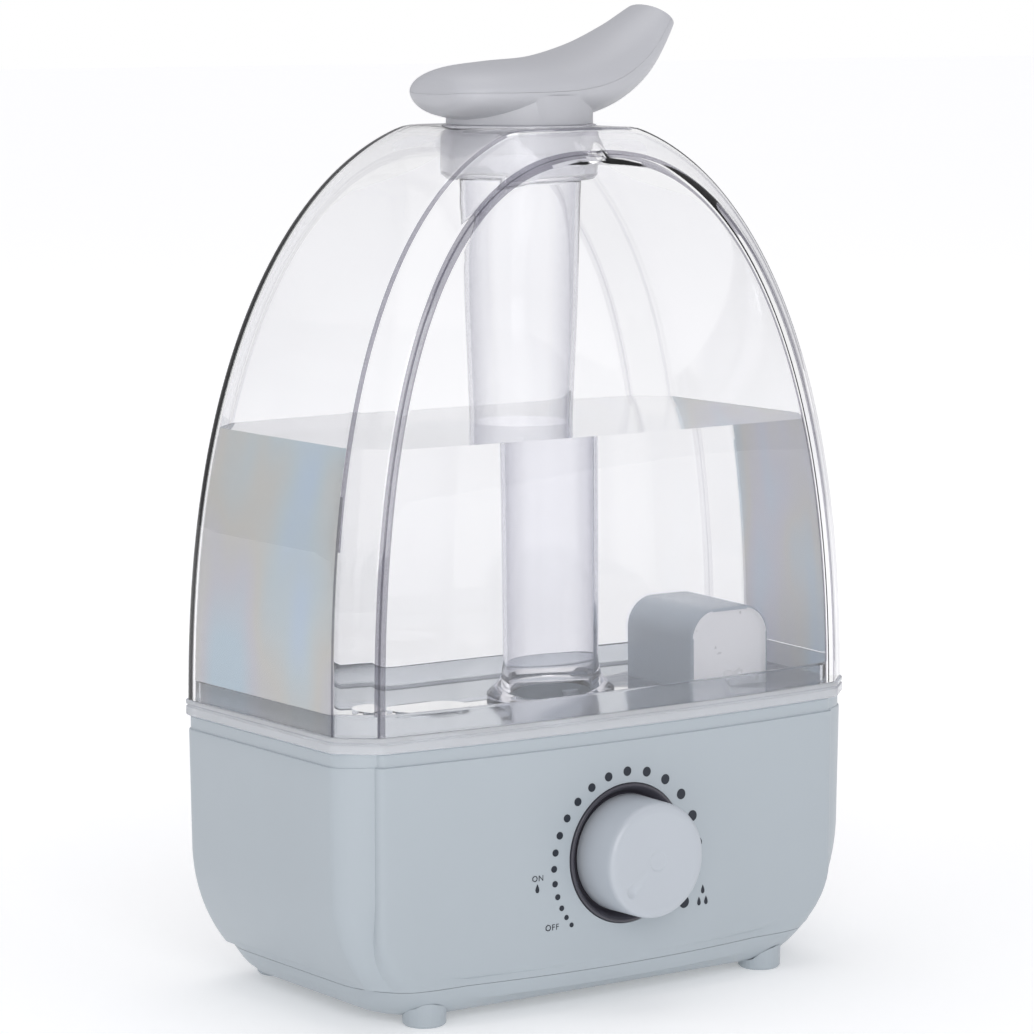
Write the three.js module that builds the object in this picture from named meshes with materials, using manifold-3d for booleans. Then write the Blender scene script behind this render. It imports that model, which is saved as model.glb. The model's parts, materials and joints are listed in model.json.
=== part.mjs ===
// Cool mist humidifier: a clear loaf-shaped water tank that lifts off an opaque base.
// Millimetres, +Z up. The front, with the dial, faces -Y. Every piece is made with the middle of
// the tank over the origin, and the whole is then set back so that the origin is the middle of
// its footprint, knob included, at the bottom of the feet.
import * as THREE from "three";
import { mergeVertices } from "three/addons/utils/BufferGeometryUtils.js";
import Module from "manifold-3d";

const wasm = await Module();
wasm.setup();

// ---- driving dimensions ----
const SET_BACK = 8;
const GAP = 0.3; // clearance between touching pieces
const WALL = 2.4; // wall of the tank
const HOUSING_WALL = 2.6; // wall of the opaque base

const BAND_WIDTH = 220; // across the side panels
const PLATE_WIDTH = 196.4; // across the front and the back plate
const PLATE_DEPTH = 114.6; // from the front plate's edges to the back plate's
const STEP_DEPTH = 10.9; // front to back, from a plate's edge to the edge of the side band
const BULGE = 5; // how far the middle of each plate stands proud of its edges

const SEAM = 97.2; // top of the base
const BAND_TOP = 302.2; // flat top of the tank
const PLATE_TOP = 294; // apex of the front plate's arch
const LEDGE_HEIGHT = 4.9; // set-in strip at the top of the base
const LEDGE_INSET = 0.7;

const BODY_BOTTOM = 2.5; // underside of the base
const PARTING = 14; // where the housing meets the bottom cover
const PLATE_CORNER = 34; // lower corners of the base's front and back plates
const SIDE_CORNER = 18; // lower edges of the base along its sides
const CORNER_DEPTH = 26; // front to back, where the one has become the other
const EDGE_ROUND = 3; // upright edges of the plates
const UNDER_ROUND = 14; // how the plates round under
const POD_BOTTOM = 14.6;
const POD_CORNER = 59; // lower corners of the side pods, seen from the front
const POD_STRAIGHT = 52; // height where a pod's corner begins

const DECK = 94.6; // upper face of the base's deck
const BASIN = { x0: -82, x1: 36, y: 38, floor: 71, round: 14 };
const WELL = { radius: 21, floor: 60 };

const KNOB = { x: 1.5, z: 53, radius: 20.2, out: 17.6, groove: 24.4 };
const FOOT = { x: 73, y: 46.4, radius: 7.5 };
const FAN = { x: 63.5, size: 50, height: 15, z: 25 };
const TOWER = { x: 63.5, width: 21, depth: 32, top: 124 };
const HUMP = { x: 63.7, width: 35.4, depth: 57, top: 130.5, round: 11 };
const CAP = { x: -50, radius: 20, floor: 86.6, hole: 9 };
const VALVE = { open: 3.5, rod: 1.9, disc: 11, foot: 77 }; // open: how far the pin lifts it
const FLOAT = { x: 20, y: 20, radius: 8.6 };

const COLLAR = { outer: 27, inner: 25.1, bottom: 283.4 };
const TUBE = { top: 21, bottom: 17.9, wall: 1.6, foot: 24 };
const NECK = { outer: 23.5, inner: 21.8, bottom: 287.8 };
const FLOOR = { under: 99.6, top: 102, flange: 102.6 };

// ---- materials ----
const finish = (color, roughness, metalness = 0, extra = {}) =>
  new THREE.MeshStandardMaterial({ color, roughness, metalness, ...extra });
const CLEAR = finish(0xeef1f6, 0.05, 0, { transparent: true, opacity: 0.35 });
const SHELL = finish(0xbac3ca, 0.35);
const PALE = finish(0xd4d6dc, 0.4);
const DARK = finish(0x4a4c55, 0.5);
const RUBBER = finish(0x2b2c2e, 0.8);
const SILICONE = finish(0xdedfe2, 0.6);
const BOARD = finish(0x1f6a3c, 0.6);
const STEEL = finish(0xb9bcc0, 0.3, 1);
const ALUMINIUM = finish(0xc9ccd0, 0.4, 1);
const CERAMIC = finish(0xe9e4da, 0.3);
const WIRE = finish(0xb03028, 0.6);

// ---- solids ----
function solid(geometry) {
  const bare = new THREE.BufferGeometry();
  const flat = geometry.index ? geometry.toNonIndexed() : geometry;
  bare.setAttribute("position", flat.getAttribute("position"));
  const merged = mergeVertices(bare, 1e-4);
  const mesh = new wasm.Mesh({
    numProp: 3,
    vertProperties: merged.attributes.position.array,
    triVerts: new Uint32Array(merged.index.array),
  });
  return new wasm.Manifold(mesh);
}

function geometryOf(manifold) {
  const mesh = manifold.getMesh();
  return new THREE.BufferGeometry()
    .setAttribute("position", new THREE.BufferAttribute(mesh.vertProperties, 3))
    .setIndex(new THREE.BufferAttribute(mesh.triVerts, 1));
}

const joined = (...parts) => parts.reduce((a, b) => a.add(b));
const cut = (body, ...tools) => tools.reduce((a, b) => a.subtract(b), body);

function box(x0, x1, y0, y1, z0, z1) {
  const g = new THREE.BoxGeometry(x1 - x0, y1 - y0, z1 - z0);
  return solid(g.translate((x0 + x1) / 2, (y0 + y1) / 2, (z0 + z1) / 2));
}

// A solid of revolution about an upright axis from (radius, z) points.
function turned(points, x = 0, y = 0, sides = 28) {
  const profile = points.map(([r, z]) => new THREE.Vector2(r, z));
  if (points[0][0] > 0) profile.push(profile[0].clone());
  const area = THREE.ShapeUtils.area(profile);
  if (area < 0) profile.reverse();
  const g = new THREE.LatheGeometry(profile, sides).rotateX(Math.PI / 2);
  return solid(g.translate(x, y, 0));
}

const disc = (r, z0, z1, x = 0, y = 0, sides = 24) =>
  turned([[0, z0], [r, z0], [r, z1], [0, z1]], x, y, sides);
const ring = (inner, outer, z0, z1, x = 0, y = 0, sides = 24) =>
  turned([[inner, z0], [outer, z0], [outer, z1], [inner, z1]], x, y, sides);

// The same solid turned so that its axis runs along Y, with its z = 0 end at y and the rest behind it.
function facing(manifold, x, y, z) {
  return solid(geometryOf(manifold).rotateX(-Math.PI / 2).translate(x, y, z));
}

// An upright prism with rounded corners.
function roundedBox(x0, x1, y0, y1, z0, z1, radius, segments = 3) {
  const s = new THREE.Shape();
  s.absarc(x1 - radius, y1 - radius, radius, 0, Math.PI / 2);
  s.absarc(x0 + radius, y1 - radius, radius, Math.PI / 2, Math.PI);
  s.absarc(x0 + radius, y0 + radius, radius, Math.PI, 1.5 * Math.PI);
  s.absarc(x1 - radius, y0 + radius, radius, 1.5 * Math.PI, 2 * Math.PI);
  const g = new THREE.ExtrudeGeometry(s, {
    depth: z1 - z0,
    bevelEnabled: false,
    curveSegments: segments,
  });
  return solid(g.translate(0, 0, z0));
}

// A box whose surface is moved by shape(across, along, up): across runs from -1 to 1,
// along is the index of a station from front to back, and up the index of a row.
function moulded(columns, stations, rows, shape) {
  const g = new THREE.BoxGeometry(2, stations, rows, columns, stations, rows);
  const p = g.attributes.position;
  for (let i = 0; i < p.count; i++) {
    const along = Math.round(p.getY(i) + stations / 2);
    const up = Math.round(p.getZ(i) + rows / 2);
    p.setXYZ(i, ...shape(p.getX(i), along, up));
  }
  return solid(g);
}

const mix = (a, b, s) => a + (b - a) * s;
const smooth = (t) => t * t * (3 - 2 * t);
const rounding = (radius, depth) =>
  depth >= radius ? 0 : radius - Math.sqrt(radius ** 2 - (radius - depth) ** 2);

// ---- tank form ----
// The tank's faces lean in towards the top.
function lean(z) {
  const u = Math.max(0, (z - SEAM) / (BAND_TOP - SEAM));
  return 1.4 * u + 11 * u * u;
}
const bulge = (across, z) =>
  BULGE * (1 - across ** 2) * (1 - 0.45 * Math.max(0, (z - SEAM) / (BAND_TOP - SEAM)));

// An arch is a superellipse, given as [half-width, height] at an angle.
function arch(halfWidth, height, wide, tall, angle) {
  return [
    halfWidth * Math.cos(angle) ** (2 / wide),
    SEAM + height * Math.sin(angle) ** (2 / tall),
  ];
}
const BAND_ARCH = { rise: 208.6, wide: 2.2, tall: 2.44 };
const PLATE_ARCH = { wide: 2.37, tall: 2.37 };

function tankForm(inset, bottom, rows = 16, columns = 6) {
  const stations = [0, 1, 1, 0]; // 0 on a plate, 1 on the side band
  const lastAngle = 0.985 * (Math.PI / 2);
  return moulded(columns, 3, rows, (across, along, up) => {
    const angle = (up / rows) * lastAngle;
    const plate = arch(
      PLATE_WIDTH / 2 - inset,
      PLATE_TOP - SEAM - inset,
      PLATE_ARCH.wide,
      PLATE_ARCH.tall,
      angle,
    );
    const band = arch(
      BAND_WIDTH / 2 - inset,
      BAND_ARCH.rise - inset,
      BAND_ARCH.wide,
      BAND_ARCH.tall,
      angle,
    );
    band[1] = Math.min(band[1], BAND_TOP - inset);
    const s = stations[along];
    let z = mix(plate[1], band[1], s);
    if (up === 0) z = bottom;
    const side = along < 2 ? -1 : 1;
    const depth = PLATE_DEPTH / 2 - inset - lean(z) - s * STEP_DEPTH;
    const proud = s ? 0 : bulge(across, z);
    return [across * mix(plate[0], band[0], s), side * (depth + proud), z];
  });
}

// ---- base form ----
const ledge = (z, inset) =>
  inset <= 0 && z > SEAM - LEDGE_HEIGHT + 0.01 ? inset + LEDGE_INSET : inset;
const draft = (z) => 0.6 * Math.max(0, (SEAM - z) / SEAM);

// Each row of the body is an angle round its lower corner, and a height above that corner.
function bodyForm(inset = 0, top = SEAM - 0.1, columns = 8) {
  const straight = [0, 0, 0, 0, 0, 0, 0, 66];
  const turns = straight.length - 2;
  if (inset <= 0) straight.push(SEAM - LEDGE_HEIGHT, SEAM - LEDGE_HEIGHT + 0.3);
  straight.push(top);
  const depths = inset > 0 ? [0, 6, 14, CORNER_DEPTH] : [0, 1, 3, 7, 14, CORNER_DEPTH];
  const stations = [...depths, ...depths.toReversed()];
  const half = PLATE_WIDTH / 2 - inset;
  return moulded(columns, stations.length - 1, straight.length - 1, (across, along, up) => {
    const d = stations[along];
    const front = along < depths.length ? -1 : 1;
    const corner = mix(PLATE_CORNER, SIDE_CORNER, smooth(d / CORNER_DEPTH)) - inset;
    const a = (Math.min(up, turns) / turns) * (Math.PI / 2);
    const z = straight[up] || BODY_BOTTOM + inset + corner * (1 - Math.cos(a));
    const under = rounding(UNDER_ROUND, d) * Math.max(0, 1 - (z - BODY_BOTTOM) / PLATE_CORNER);
    const side = corner * (1 - Math.sin(a)) + draft(z) + rounding(EDGE_ROUND, d);
    const set = ledge(z, inset);
    const proud = d < 3 ? bulge(across, 0) : 0;
    return [
      across * (half - side - set + inset),
      front * (PLATE_DEPTH / 2 - set - d + proud),
      z + under,
    ];
  });
}

// The pods are one block from side to side; its middle lies inside the body.
function podForm(inset = 0, top = SEAM - 0.1) {
  const half = BAND_WIDTH / 2 - inset;
  const rows = [];
  const centre = half - 0.8 - (POD_CORNER - inset);
  const lowest = Math.asin((POD_STRAIGHT - POD_BOTTOM - inset) / (POD_CORNER - inset));
  for (let i = 0; i <= 6; i++) {
    const a = lowest * (1 - i / 6);
    rows.push([
      centre + (POD_CORNER - inset) * Math.cos(a),
      POD_STRAIGHT - (POD_CORNER - inset) * Math.sin(a),
    ]);
  }
  if (inset === 0) {
    rows.push([half, SEAM - LEDGE_HEIGHT], [half - LEDGE_INSET, SEAM - LEDGE_HEIGHT + 0.3]);
  }
  rows.push([half - (inset === 0 ? LEDGE_INSET : 0), top]);
  const depths = [2, 7, STEP_DEPTH, STEP_DEPTH + 3];
  const outs = [-13.5, -5, -0.8, 0]; // from the pod's face, a soft hollow strip
  const stations = [...depths, ...depths.toReversed()];
  const sides = [...outs, ...outs.toReversed()];
  return moulded(2, stations.length - 1, rows.length - 1, (across, along, up) => {
    const front = along < depths.length ? -1 : 1;
    return [
      across * (rows[up][0] + sides[along]),
      front * (PLATE_DEPTH / 2 - inset - stations[along]),
      rows[up][1],
    ];
  });
}

const TALL = 400;
const above = (z) => box(-TALL, TALL, -TALL, TALL, z, TALL);
const below = (z) => box(-TALL, TALL, -TALL, TALL, -TALL, z);

// ---- collecting ----
const humidifier = new THREE.Group();
humidifier.name = "cool_mist_humidifier";
humidifier.position.y = SET_BACK;

function add(name, manifold, material) {
  const mesh = new THREE.Mesh(geometryOf(manifold), material);
  mesh.name = name;
  humidifier.add(mesh);
}

// ---- base ----
const bodyOuter = bodyForm();
const bodyInner = bodyForm(HOUSING_WALL, DECK - HOUSING_WALL, 4);
const frontFace = -(PLATE_DEPTH / 2 + BULGE); // middle of the front plate
const PILLARS = [[-70, 27], [-70, -27], [26, 27], [26, -27]];
const BOARDS = { power: 17, driver: 44 }; // undersides of the two circuit boards
const HANGERS = [[-80, 16], [-80, -16], [-36, 16], [-36, -16]];
const POSTS = [[-56, 19], [-56, -19], [12, 19], [12, -19]];
const GLAND = { x: -58, z: 32, radius: 6 };
const PILLAR_FOOT = 12;

const CLAMP_SCREWS = [0, 1, 2].map((i) => {
  const a = (i * 2 * Math.PI) / 3 + Math.PI / 6;
  return [14.5 * Math.cos(a), 14.5 * Math.sin(a)];
});

// ---- dial place ----
// Made about an upright axis, with z = 0 on the front face and z > 0 inside the base.
const onFace = (manifold) => facing(manifold, KNOB.x, frontFace, KNOB.z);
const RECESS = { radius: KNOB.groove + GAP, depth: 4.4, floor: 2.6 };
const DIAL_OFF = -140; // degrees, the knob's dimple seen from the front

function pillar([x, y]) {
  return ring(1.9, 4.2, PILLAR_FOOT, BASIN.floor - 1, x, y, 12);
}

function basin(inset, floor, top) {
  const b = BASIN;
  return roundedBox(
    b.x0 + inset, b.x1 - inset, -b.y + inset, b.y - inset, floor, top, b.round - inset,
  );
}

function baseHousing() {
  const innerPod = podForm(HOUSING_WALL, DECK - HOUSING_WALL);
  let shell = cut(joined(bodyOuter, podForm()), bodyInner, innerPod, below(PARTING));
  const rim = joined(bodyForm(HOUSING_WALL, TALL, 4), podForm(HOUSING_WALL, TALL));
  shell = cut(shell, rim.intersect(above(DECK)));
  shell = joined(
    shell,
    onFace(disc(RECESS.radius + 2.4, 1.5, RECESS.depth + RECESS.floor, 0, 0, 32)),
  );
  const t = TOWER;
  return cut(
    shell,
    basin(-GAP, 0, TALL),
    onFace(disc(RECESS.radius, -6, RECESS.depth, 0, 0, 32)),
    onFace(disc(4.6, 0, 12, 0, 0, 24)),
    roundedBox(
      t.x - t.width / 2 - GAP, t.x + t.width / 2 + GAP,
      -t.depth / 2 - GAP, t.depth / 2 + GAP, 80, TALL, 4 + GAP,
    ),
    facing(disc(GLAND.radius + GAP, 0, 20, 0, 0, 24), GLAND.x, 50, GLAND.z),
  );
}

// The tray that the tank stands in: a basin with the mist maker's well in its floor. It hangs in
// the hole of the deck, and the cover's screws go into its pillars.
function waterTray() {
  const lip = basin(3, DECK + GAP, DECK + 1.2);
  const rim = basin(-3, DECK + GAP, DECK + 1.2);
  return cut(
    joined(
      basin(0, BASIN.floor - HOUSING_WALL, DECK + 1),
      cut(rim, lip),
      disc(WELL.radius + HOUSING_WALL, WELL.floor - HOUSING_WALL, BASIN.floor),
      ...PILLARS.map(pillar),
      ...HANGERS.map(([x, y]) => disc(2.4, BOARDS.driver + 1.9, BASIN.floor - 1, x, y, 12)),
    ),
    basin(HOUSING_WALL, BASIN.floor, TALL),
    disc(WELL.radius, WELL.floor, BASIN.floor + 1),
    disc(10.5, 0, WELL.floor + 1),
    ...PILLARS.map(([x, y]) => disc(1.9, 0, BASIN.floor - HOUSING_WALL - 3, x, y, 12)),
    ...CLAMP_SCREWS.map(([x, y]) => disc(1.7, 50, WELL.floor - 0.7, x, y, 12)),
  );
}

function bottomCover() {
  const pan = cut(bodyOuter, bodyInner, above(PARTING - GAP));
  const bosses = PILLARS.map(([x, y]) => disc(4.4, BODY_BOTTOM, PILLAR_FOOT - GAP, x, y, 12));
  const half = FAN.size / 2 - 3;
  const posts = POSTS.map(([x, y]) => disc(2.4, BODY_BOTTOM + 1, BOARDS.power - GAP, x, y, 12));
  const rails = [-1, 1].map((side) =>
    box(FAN.x - 18, FAN.x + 8, side * 22.4 - 1.4, side * 22.4 + 1.4, BODY_BOTTOM + 1, FAN.z - GAP));
  return cut(
    joined(pan, ...bosses, ...posts, ...rails),
    ...PILLARS.map(([x, y]) => disc(1.9, 0, TALL, x, y, 12)),
    ...PILLARS.map(([x, y]) => disc(3.6, 0, BODY_BOTTOM + 4, x, y, 12)),
    box(FAN.x - half, FAN.x + half - 14, -half, half, 0, 12),
  );
}

function intakeGrille() {
  const half = FAN.size / 2 - 3 - GAP;
  const x0 = FAN.x - half;
  const x1 = FAN.x + half - 14;
  const plate = box(x0, x1, -half, half, BODY_BOTTOM + 0.3, BODY_BOTTOM + 2.3);
  const slots = [];
  for (let y = -half + 3; y < half - 4; y += 5) {
    slots.push(box(x0 + 3, x1 - 3, y, y + 2.6, 0, 12));
  }
  return cut(plate, ...slots);
}

function foot(x, y) {
  const post = turned(
    [[0, 0], [FOOT.radius - 0.8, 0], [FOOT.radius, 0.8], [FOOT.radius + 0.5, 16], [0, 16]],
    x, y,
  );
  return cut(post, bodyForm(-GAP));
}

function coverScrew(x, y) {
  return joined(disc(3.2, BODY_BOTTOM + 1.6, BODY_BOTTOM + 3.7, x, y, 12),
    disc(1.5, BODY_BOTTOM + 3, 26, x, y, 12));
}

add("base_housing", baseHousing(), SHELL);
add("water_tray", waterTray(), SHELL);
add("bottom_cover", bottomCover(), SHELL);
add("intake_grille", intakeGrille(), SHELL);
[["left", -1], ["right", 1]].forEach(([side, sx]) => {
  [["front", -1], ["rear", 1]].forEach(([end, sy]) => {
    add(`foot_${end}_${side}`, foot(sx * FOOT.x, sy * FOOT.y), SHELL);
  });
});
PILLARS.forEach(([x, y], i) => add(`cover_screw_${i + 1}`, coverScrew(x, y), STEEL));

// ---- dial ----
function dialBezel() {
  const r = KNOB.groove;
  const back = RECESS.depth - GAP;
  return onFace(turned([
    [5.2, back - 1.2], [5.2, back], [r, back], [r, -0.5], [r - 1.2, -0.5], [r - 1.2, back - 1.2],
  ], 0, 0, 32));
}

function controlKnob() {
  const r = KNOB.radius;
  const front = -KNOB.out;
  const back = 2.2;
  const body = turned([
    [0, front], [r - 2.4, front], [r - 1.2, front + 0.3], [r - 0.3, front + 1.1],
    [r, front + 2.2], [r + 0.3, back], [r - 1.9, back], [r - 2.1, front + 3.2],
    [6, front + 3.2], [6, back], [3.3, back], [3.3, front + 4.8], [0, front + 4.8],
  ], 0, 0, 32);
  const angle = THREE.MathUtils.degToRad(DIAL_OFF);
  const reach = r - 5.5;
  const ball = new THREE.SphereGeometry(4, 16, 12);
  ball.translate(Math.cos(angle) * reach, -Math.sin(angle) * reach, front - 3.2);
  return onFace(cut(body, solid(ball)));
}

function dialSwitch() {
  const under = RECESS.depth + RECESS.floor;
  const body = joined(disc(4.3, 3.2, under + 1), disc(9, under + GAP, under + 11));
  return onFace(cut(body, disc(3.1, 0, under + 6, 0, 0, 24)));
}

add("dial_bezel", dialBezel(), DARK);
add("control_knob", controlKnob(), PALE);
add("dial_shaft", onFace(disc(3, 5.1 - KNOB.out, RECESS.depth + RECESS.floor + 5, 0, 0, 20)), STEEL);
add("dial_switch", dialSwitch(), STEEL);

// ---- mist maker ----
const wellUnder = WELL.floor - HOUSING_WALL;
add("transducer_seal", ring(7.5, 10.2, wellUnder - 1.2, WELL.floor - 0.4), SILICONE);
add("transducer_disc", disc(7.2, WELL.floor - 2, WELL.floor - 0.9), CERAMIC);
add("transducer_clamp", cut(
  joined(disc(18, wellUnder - 4.5, wellUnder - 1.5), ring(4, 7, wellUnder - 1.6, WELL.floor - 2.3)),
  disc(4, 0, TALL),
  ...CLAMP_SCREWS.map(([x, y]) => disc(1.7, 0, TALL, x, y, 12)),
), ALUMINIUM);
CLAMP_SCREWS.forEach(([x, y], i) => {
  add(`clamp_screw_${i + 1}`, joined(
    disc(2.8, wellUnder - 6.6, wellUnder - 4.8, x, y, 14),
    disc(1.4, wellUnder - 5, WELL.floor - 1, x, y, 12),
  ), STEEL);
});

// ---- electronics ----
function driverBoard() {
  return joined(
    box(-84, -32, -20, 20, BOARDS.driver, BOARDS.driver + 1.6),
    box(-78, -70, -8, 4, 45, 54),
    box(-62, -50, 4, 16, 45, 57),
    disc(4, 45, 58, -43, 6, 16),
    disc(3, 45, 55, -43, 15, 16),
  );
}
function heatSink() {
  const fins = [0, 1, 2, 3].map((i) => box(-66, -46, -17 + i * 4, -15.6 + i * 4, 47, 60));
  return joined(box(-66, -46, -17, -3.6, 46, 48.5), ...fins);
}
function powerBoard() {
  return joined(
    box(-60, 16, -23, 23, BOARDS.power, BOARDS.power + 1.6),
    box(0, 10, -14, 0, 18, 26),
    disc(5, 18, 32, -4, 14, 16),
    disc(4, 18, 28, 8, 14, 16),
  );
}
function transformer() {
  return joined(box(-52, -24, -17, 17, 19, 40), box(-47, -29, -20, 20, 23, 36));
}
add("driver_board", driverBoard(), BOARD);
add("driver_heat_sink", heatSink(), ALUMINIUM);
add("power_board", powerBoard(), BOARD);
add("transformer", transformer(), STEEL);
const backFace = PLATE_DEPTH / 2 + BULGE * (1 - (GLAND.x / (PLATE_WIDTH / 2)) ** 2);
add("cord_gland", facing(joined(
  ring(3.4, GLAND.radius, -6, 3, 0, 0, 24),
  ring(3.4, GLAND.radius + 2.4, 0.8, 3, 0, 0, 24),
  ring(3.4, GLAND.radius + 2.4, -6, -4, 0, 0, 24),
), GLAND.x, backFace, GLAND.z), RUBBER);

function lead(points, radius) {
  const path = new THREE.CatmullRomCurve3(points.map((p) => new THREE.Vector3(...p)));
  const section = new THREE.Shape().absarc(0, 0, radius, 0, 2 * Math.PI);
  return solid(new THREE.ExtrudeGeometry(section, {
    steps: 9,
    curveSegments: 4,
    extrudePath: path,
    bevelEnabled: false,
  }));
}
add("transducer_lead", lead(
  [[-6, 0, wellUnder - 6], [-12, 1, 48], [-22, 1, 44], [-31.6, 0, 44.8]], 1.1,
), WIRE);
add("dial_lead", lead(
  [[KNOB.x, frontFace + 18.6, KNOB.z], [0, -37, 48], [-3, -33, 30], [-4, -18, 19.9]], 1.1,
), WIRE);
add("fan_lead", lead(
  [[FAN.x - FAN.size / 2 - 1, 10, 32], [32, 8, 29], [24, 4, 21], [16.4, 2, 18]], 1.1,
), WIRE);

// ---- fan ----
function fanFrame() {
  const h = FAN.size / 2;
  const { x, z, height } = FAN;
  const struts = box(x - h + 2, x + h - 2, -1.2, 1.2, z, z + 2);
  const cross = box(x - 1.2, x + 1.2, -h + 2, h - 2, z, z + 2);
  return cut(
    joined(
      cut(roundedBox(x - h, x + h, -h, h, z, z + height, 4), disc(h - 2, 0, TALL, x, 0)),
      struts, cross, disc(9, z, z + 2.2, x, 0, 24), disc(1.5, z, z + 9, x, 0, 12),
    ),
    ...[[1, 1], [1, -1], [-1, 1], [-1, -1]].map(([a, b]) =>
      disc(1.6, 0, TALL, x + a * (h - 4), b * (h - 4), 12)),
  );
}
function fanRotor() {
  const { x, z } = FAN;
  const hub = cut(disc(9, z + 2.6, z + 13.6, x, 0, 24), disc(1.8, 0, z + 11, x, 0, 12));
  const blades = [];
  for (let i = 0; i < 7; i++) {
    const blade = new THREE.BoxGeometry(14, 1.2, 11).rotateX(0.75);
    blade.translate(14.6, 0, z + 8).rotateZ((i * 2 * Math.PI) / 7).translate(x, 0, 0);
    blades.push(solid(blade));
  }
  return joined(hub, ...blades);
}
function airDuct() {
  const t = TOWER;
  const z0 = FAN.z + FAN.height + GAP;
  const h = FAN.size / 2;
  const funnel = (inset, a, b) => moulded(1, 1, 1, (across, along, up) => {
    const wide = up ? t.width / 2 : h;
    const deep = up ? t.depth / 2 : h;
    return [t.x + across * (wide - inset), (along ? 1 : -1) * (deep - inset), up ? b : a];
  });
  const skirt = cut(funnel(0, z0, z0 + 32), funnel(1.6, z0 - 0.5, z0 + 32.5));
  const w = t.width / 2;
  const d = t.depth / 2;
  const stem = cut(
    roundedBox(t.x - w, t.x + w, -d, d, z0 + 31.5, t.top, 4),
    roundedBox(t.x - w + 1.6, t.x + w - 1.6, -d + 1.6, d - 1.6, 0, TALL, 2.4),
  );
  return joined(skirt, stem);
}
add("fan_frame", fanFrame(), RUBBER);
add("fan_rotor", fanRotor(), RUBBER);
add("air_duct", airDuct(), SHELL);

// ---- basin fittings ----
add("float_post", joined(
  disc(2.4, BASIN.floor + GAP, BASIN.floor + 20, FLOAT.x, FLOAT.y, 20),
  disc(4, BASIN.floor + 18.4, BASIN.floor + 20, FLOAT.x, FLOAT.y, 20),
), PALE);
add("float_ring", ring(
  2.9, FLOAT.radius, BASIN.floor + 1, BASIN.floor + 9, FLOAT.x, FLOAT.y, 28,
), SILICONE);
add("float_magnet", ring(
  4, 7.4, BASIN.floor + 9.3, BASIN.floor + 11.2, FLOAT.x, FLOAT.y,
), STEEL);
const PIN_TOP = VALVE.foot - GAP;
add("valve_pin", turned(
  [[0, BASIN.floor + GAP], [4.5, BASIN.floor + GAP], [4.5, BASIN.floor + 2], [2.4, BASIN.floor + 3.5],
    [2.4, PIN_TOP], [0, PIN_TOP]], CAP.x, 0, 20,
), PALE);

// ---- tank ----
const tankOuter = tankForm(0, SEAM + GAP);
const tankInner = tankForm(WALL, SEAM - 5);

function tankShell() {
  return cut(
    tankOuter, tankInner, below(FLOOR.flange + GAP),
    disc(COLLAR.outer + GAP, 200, TALL),
  );
}

function hump(inset, bottom) {
  const w = HUMP.width / 2 - inset;
  const top = HUMP.top - inset;
  const r = HUMP.round - inset;
  const s = new THREE.Shape();
  s.moveTo(-w, bottom);
  s.lineTo(w, bottom);
  s.absarc(w - r, top - r, r, 0, Math.PI / 2);
  s.absarc(-w + r, top - r, r, Math.PI / 2, Math.PI);
  const depth = HUMP.depth - 2 * inset;
  const g = new THREE.ExtrudeGeometry(s, { depth, bevelEnabled: false, curveSegments: 5 });
  return solid(g.rotateX(Math.PI / 2).translate(HUMP.x, depth / 2, 0));
}

const NECK_Z = 91; // lower end of the filler neck
const FILLER = { inner: 14.5, outer: 16.5 };
function tankFloor() {
  const flange = cut(
    tankForm(-0.6, SEAM + GAP, 16), tankForm(WALL + 0.2, 0, 16), above(FLOOR.flange),
  );
  const plate = tankForm(WALL - 0.4, SEAM).intersect(
    box(-TALL, TALL, -TALL, TALL, FLOOR.under, FLOOR.top),
  );
  return cut(
    joined(flange, plate),
    hump(WALL, 0),
    disc(FILLER.inner, 0, TALL, CAP.x, 0),
    disc(TUBE.bottom - TUBE.wall, 0, TALL),
  );
}

// Glued onto the floor over its hole.
function towerRecess() {
  return cut(hump(0, FLOOR.top + GAP), hump(WALL, 0));
}

function mistTube() {
  const t = TUBE;
  const z0 = FLOOR.top + GAP;
  const z1 = COLLAR.bottom - GAP;
  return turned([
    [t.bottom - t.wall, z0], [t.foot, z0], [t.foot, z0 + 2.5], [t.bottom + 0.8, z0 + 7],
    [t.bottom, z0 + 12], [t.bottom + 0.4, 200], [t.top - 1, 240], [t.top, z1],
    [t.top - t.wall, z1], [t.top - t.wall - 1, 240], [t.bottom - t.wall + 0.4, 200],
  ], 0, 0, 32);
}

function tankCollar() {
  const c = COLLAR;
  return turned([
    [TUBE.top - TUBE.wall, c.bottom], [c.outer - 1.5, c.bottom], [c.outer, c.bottom + 1.5],
    [c.outer, BAND_TOP + 0.4], [c.inner, BAND_TOP + 0.4], [c.inner, c.bottom + 2],
    [TUBE.top - TUBE.wall, c.bottom + 2],
  ], 0, 0, 32);
}

add("tank_shell", tankShell(), CLEAR);
add("tank_floor", tankFloor(), CLEAR);
add("filler_neck", ring(
  FILLER.inner, FILLER.outer, NECK_Z, FLOOR.under - GAP, CAP.x, 0, 40,
), CLEAR);
add("tower_recess", towerRecess(), CLEAR);
add("mist_tube", mistTube(), CLEAR);
add("tank_collar", tankCollar(), CLEAR);

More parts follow.
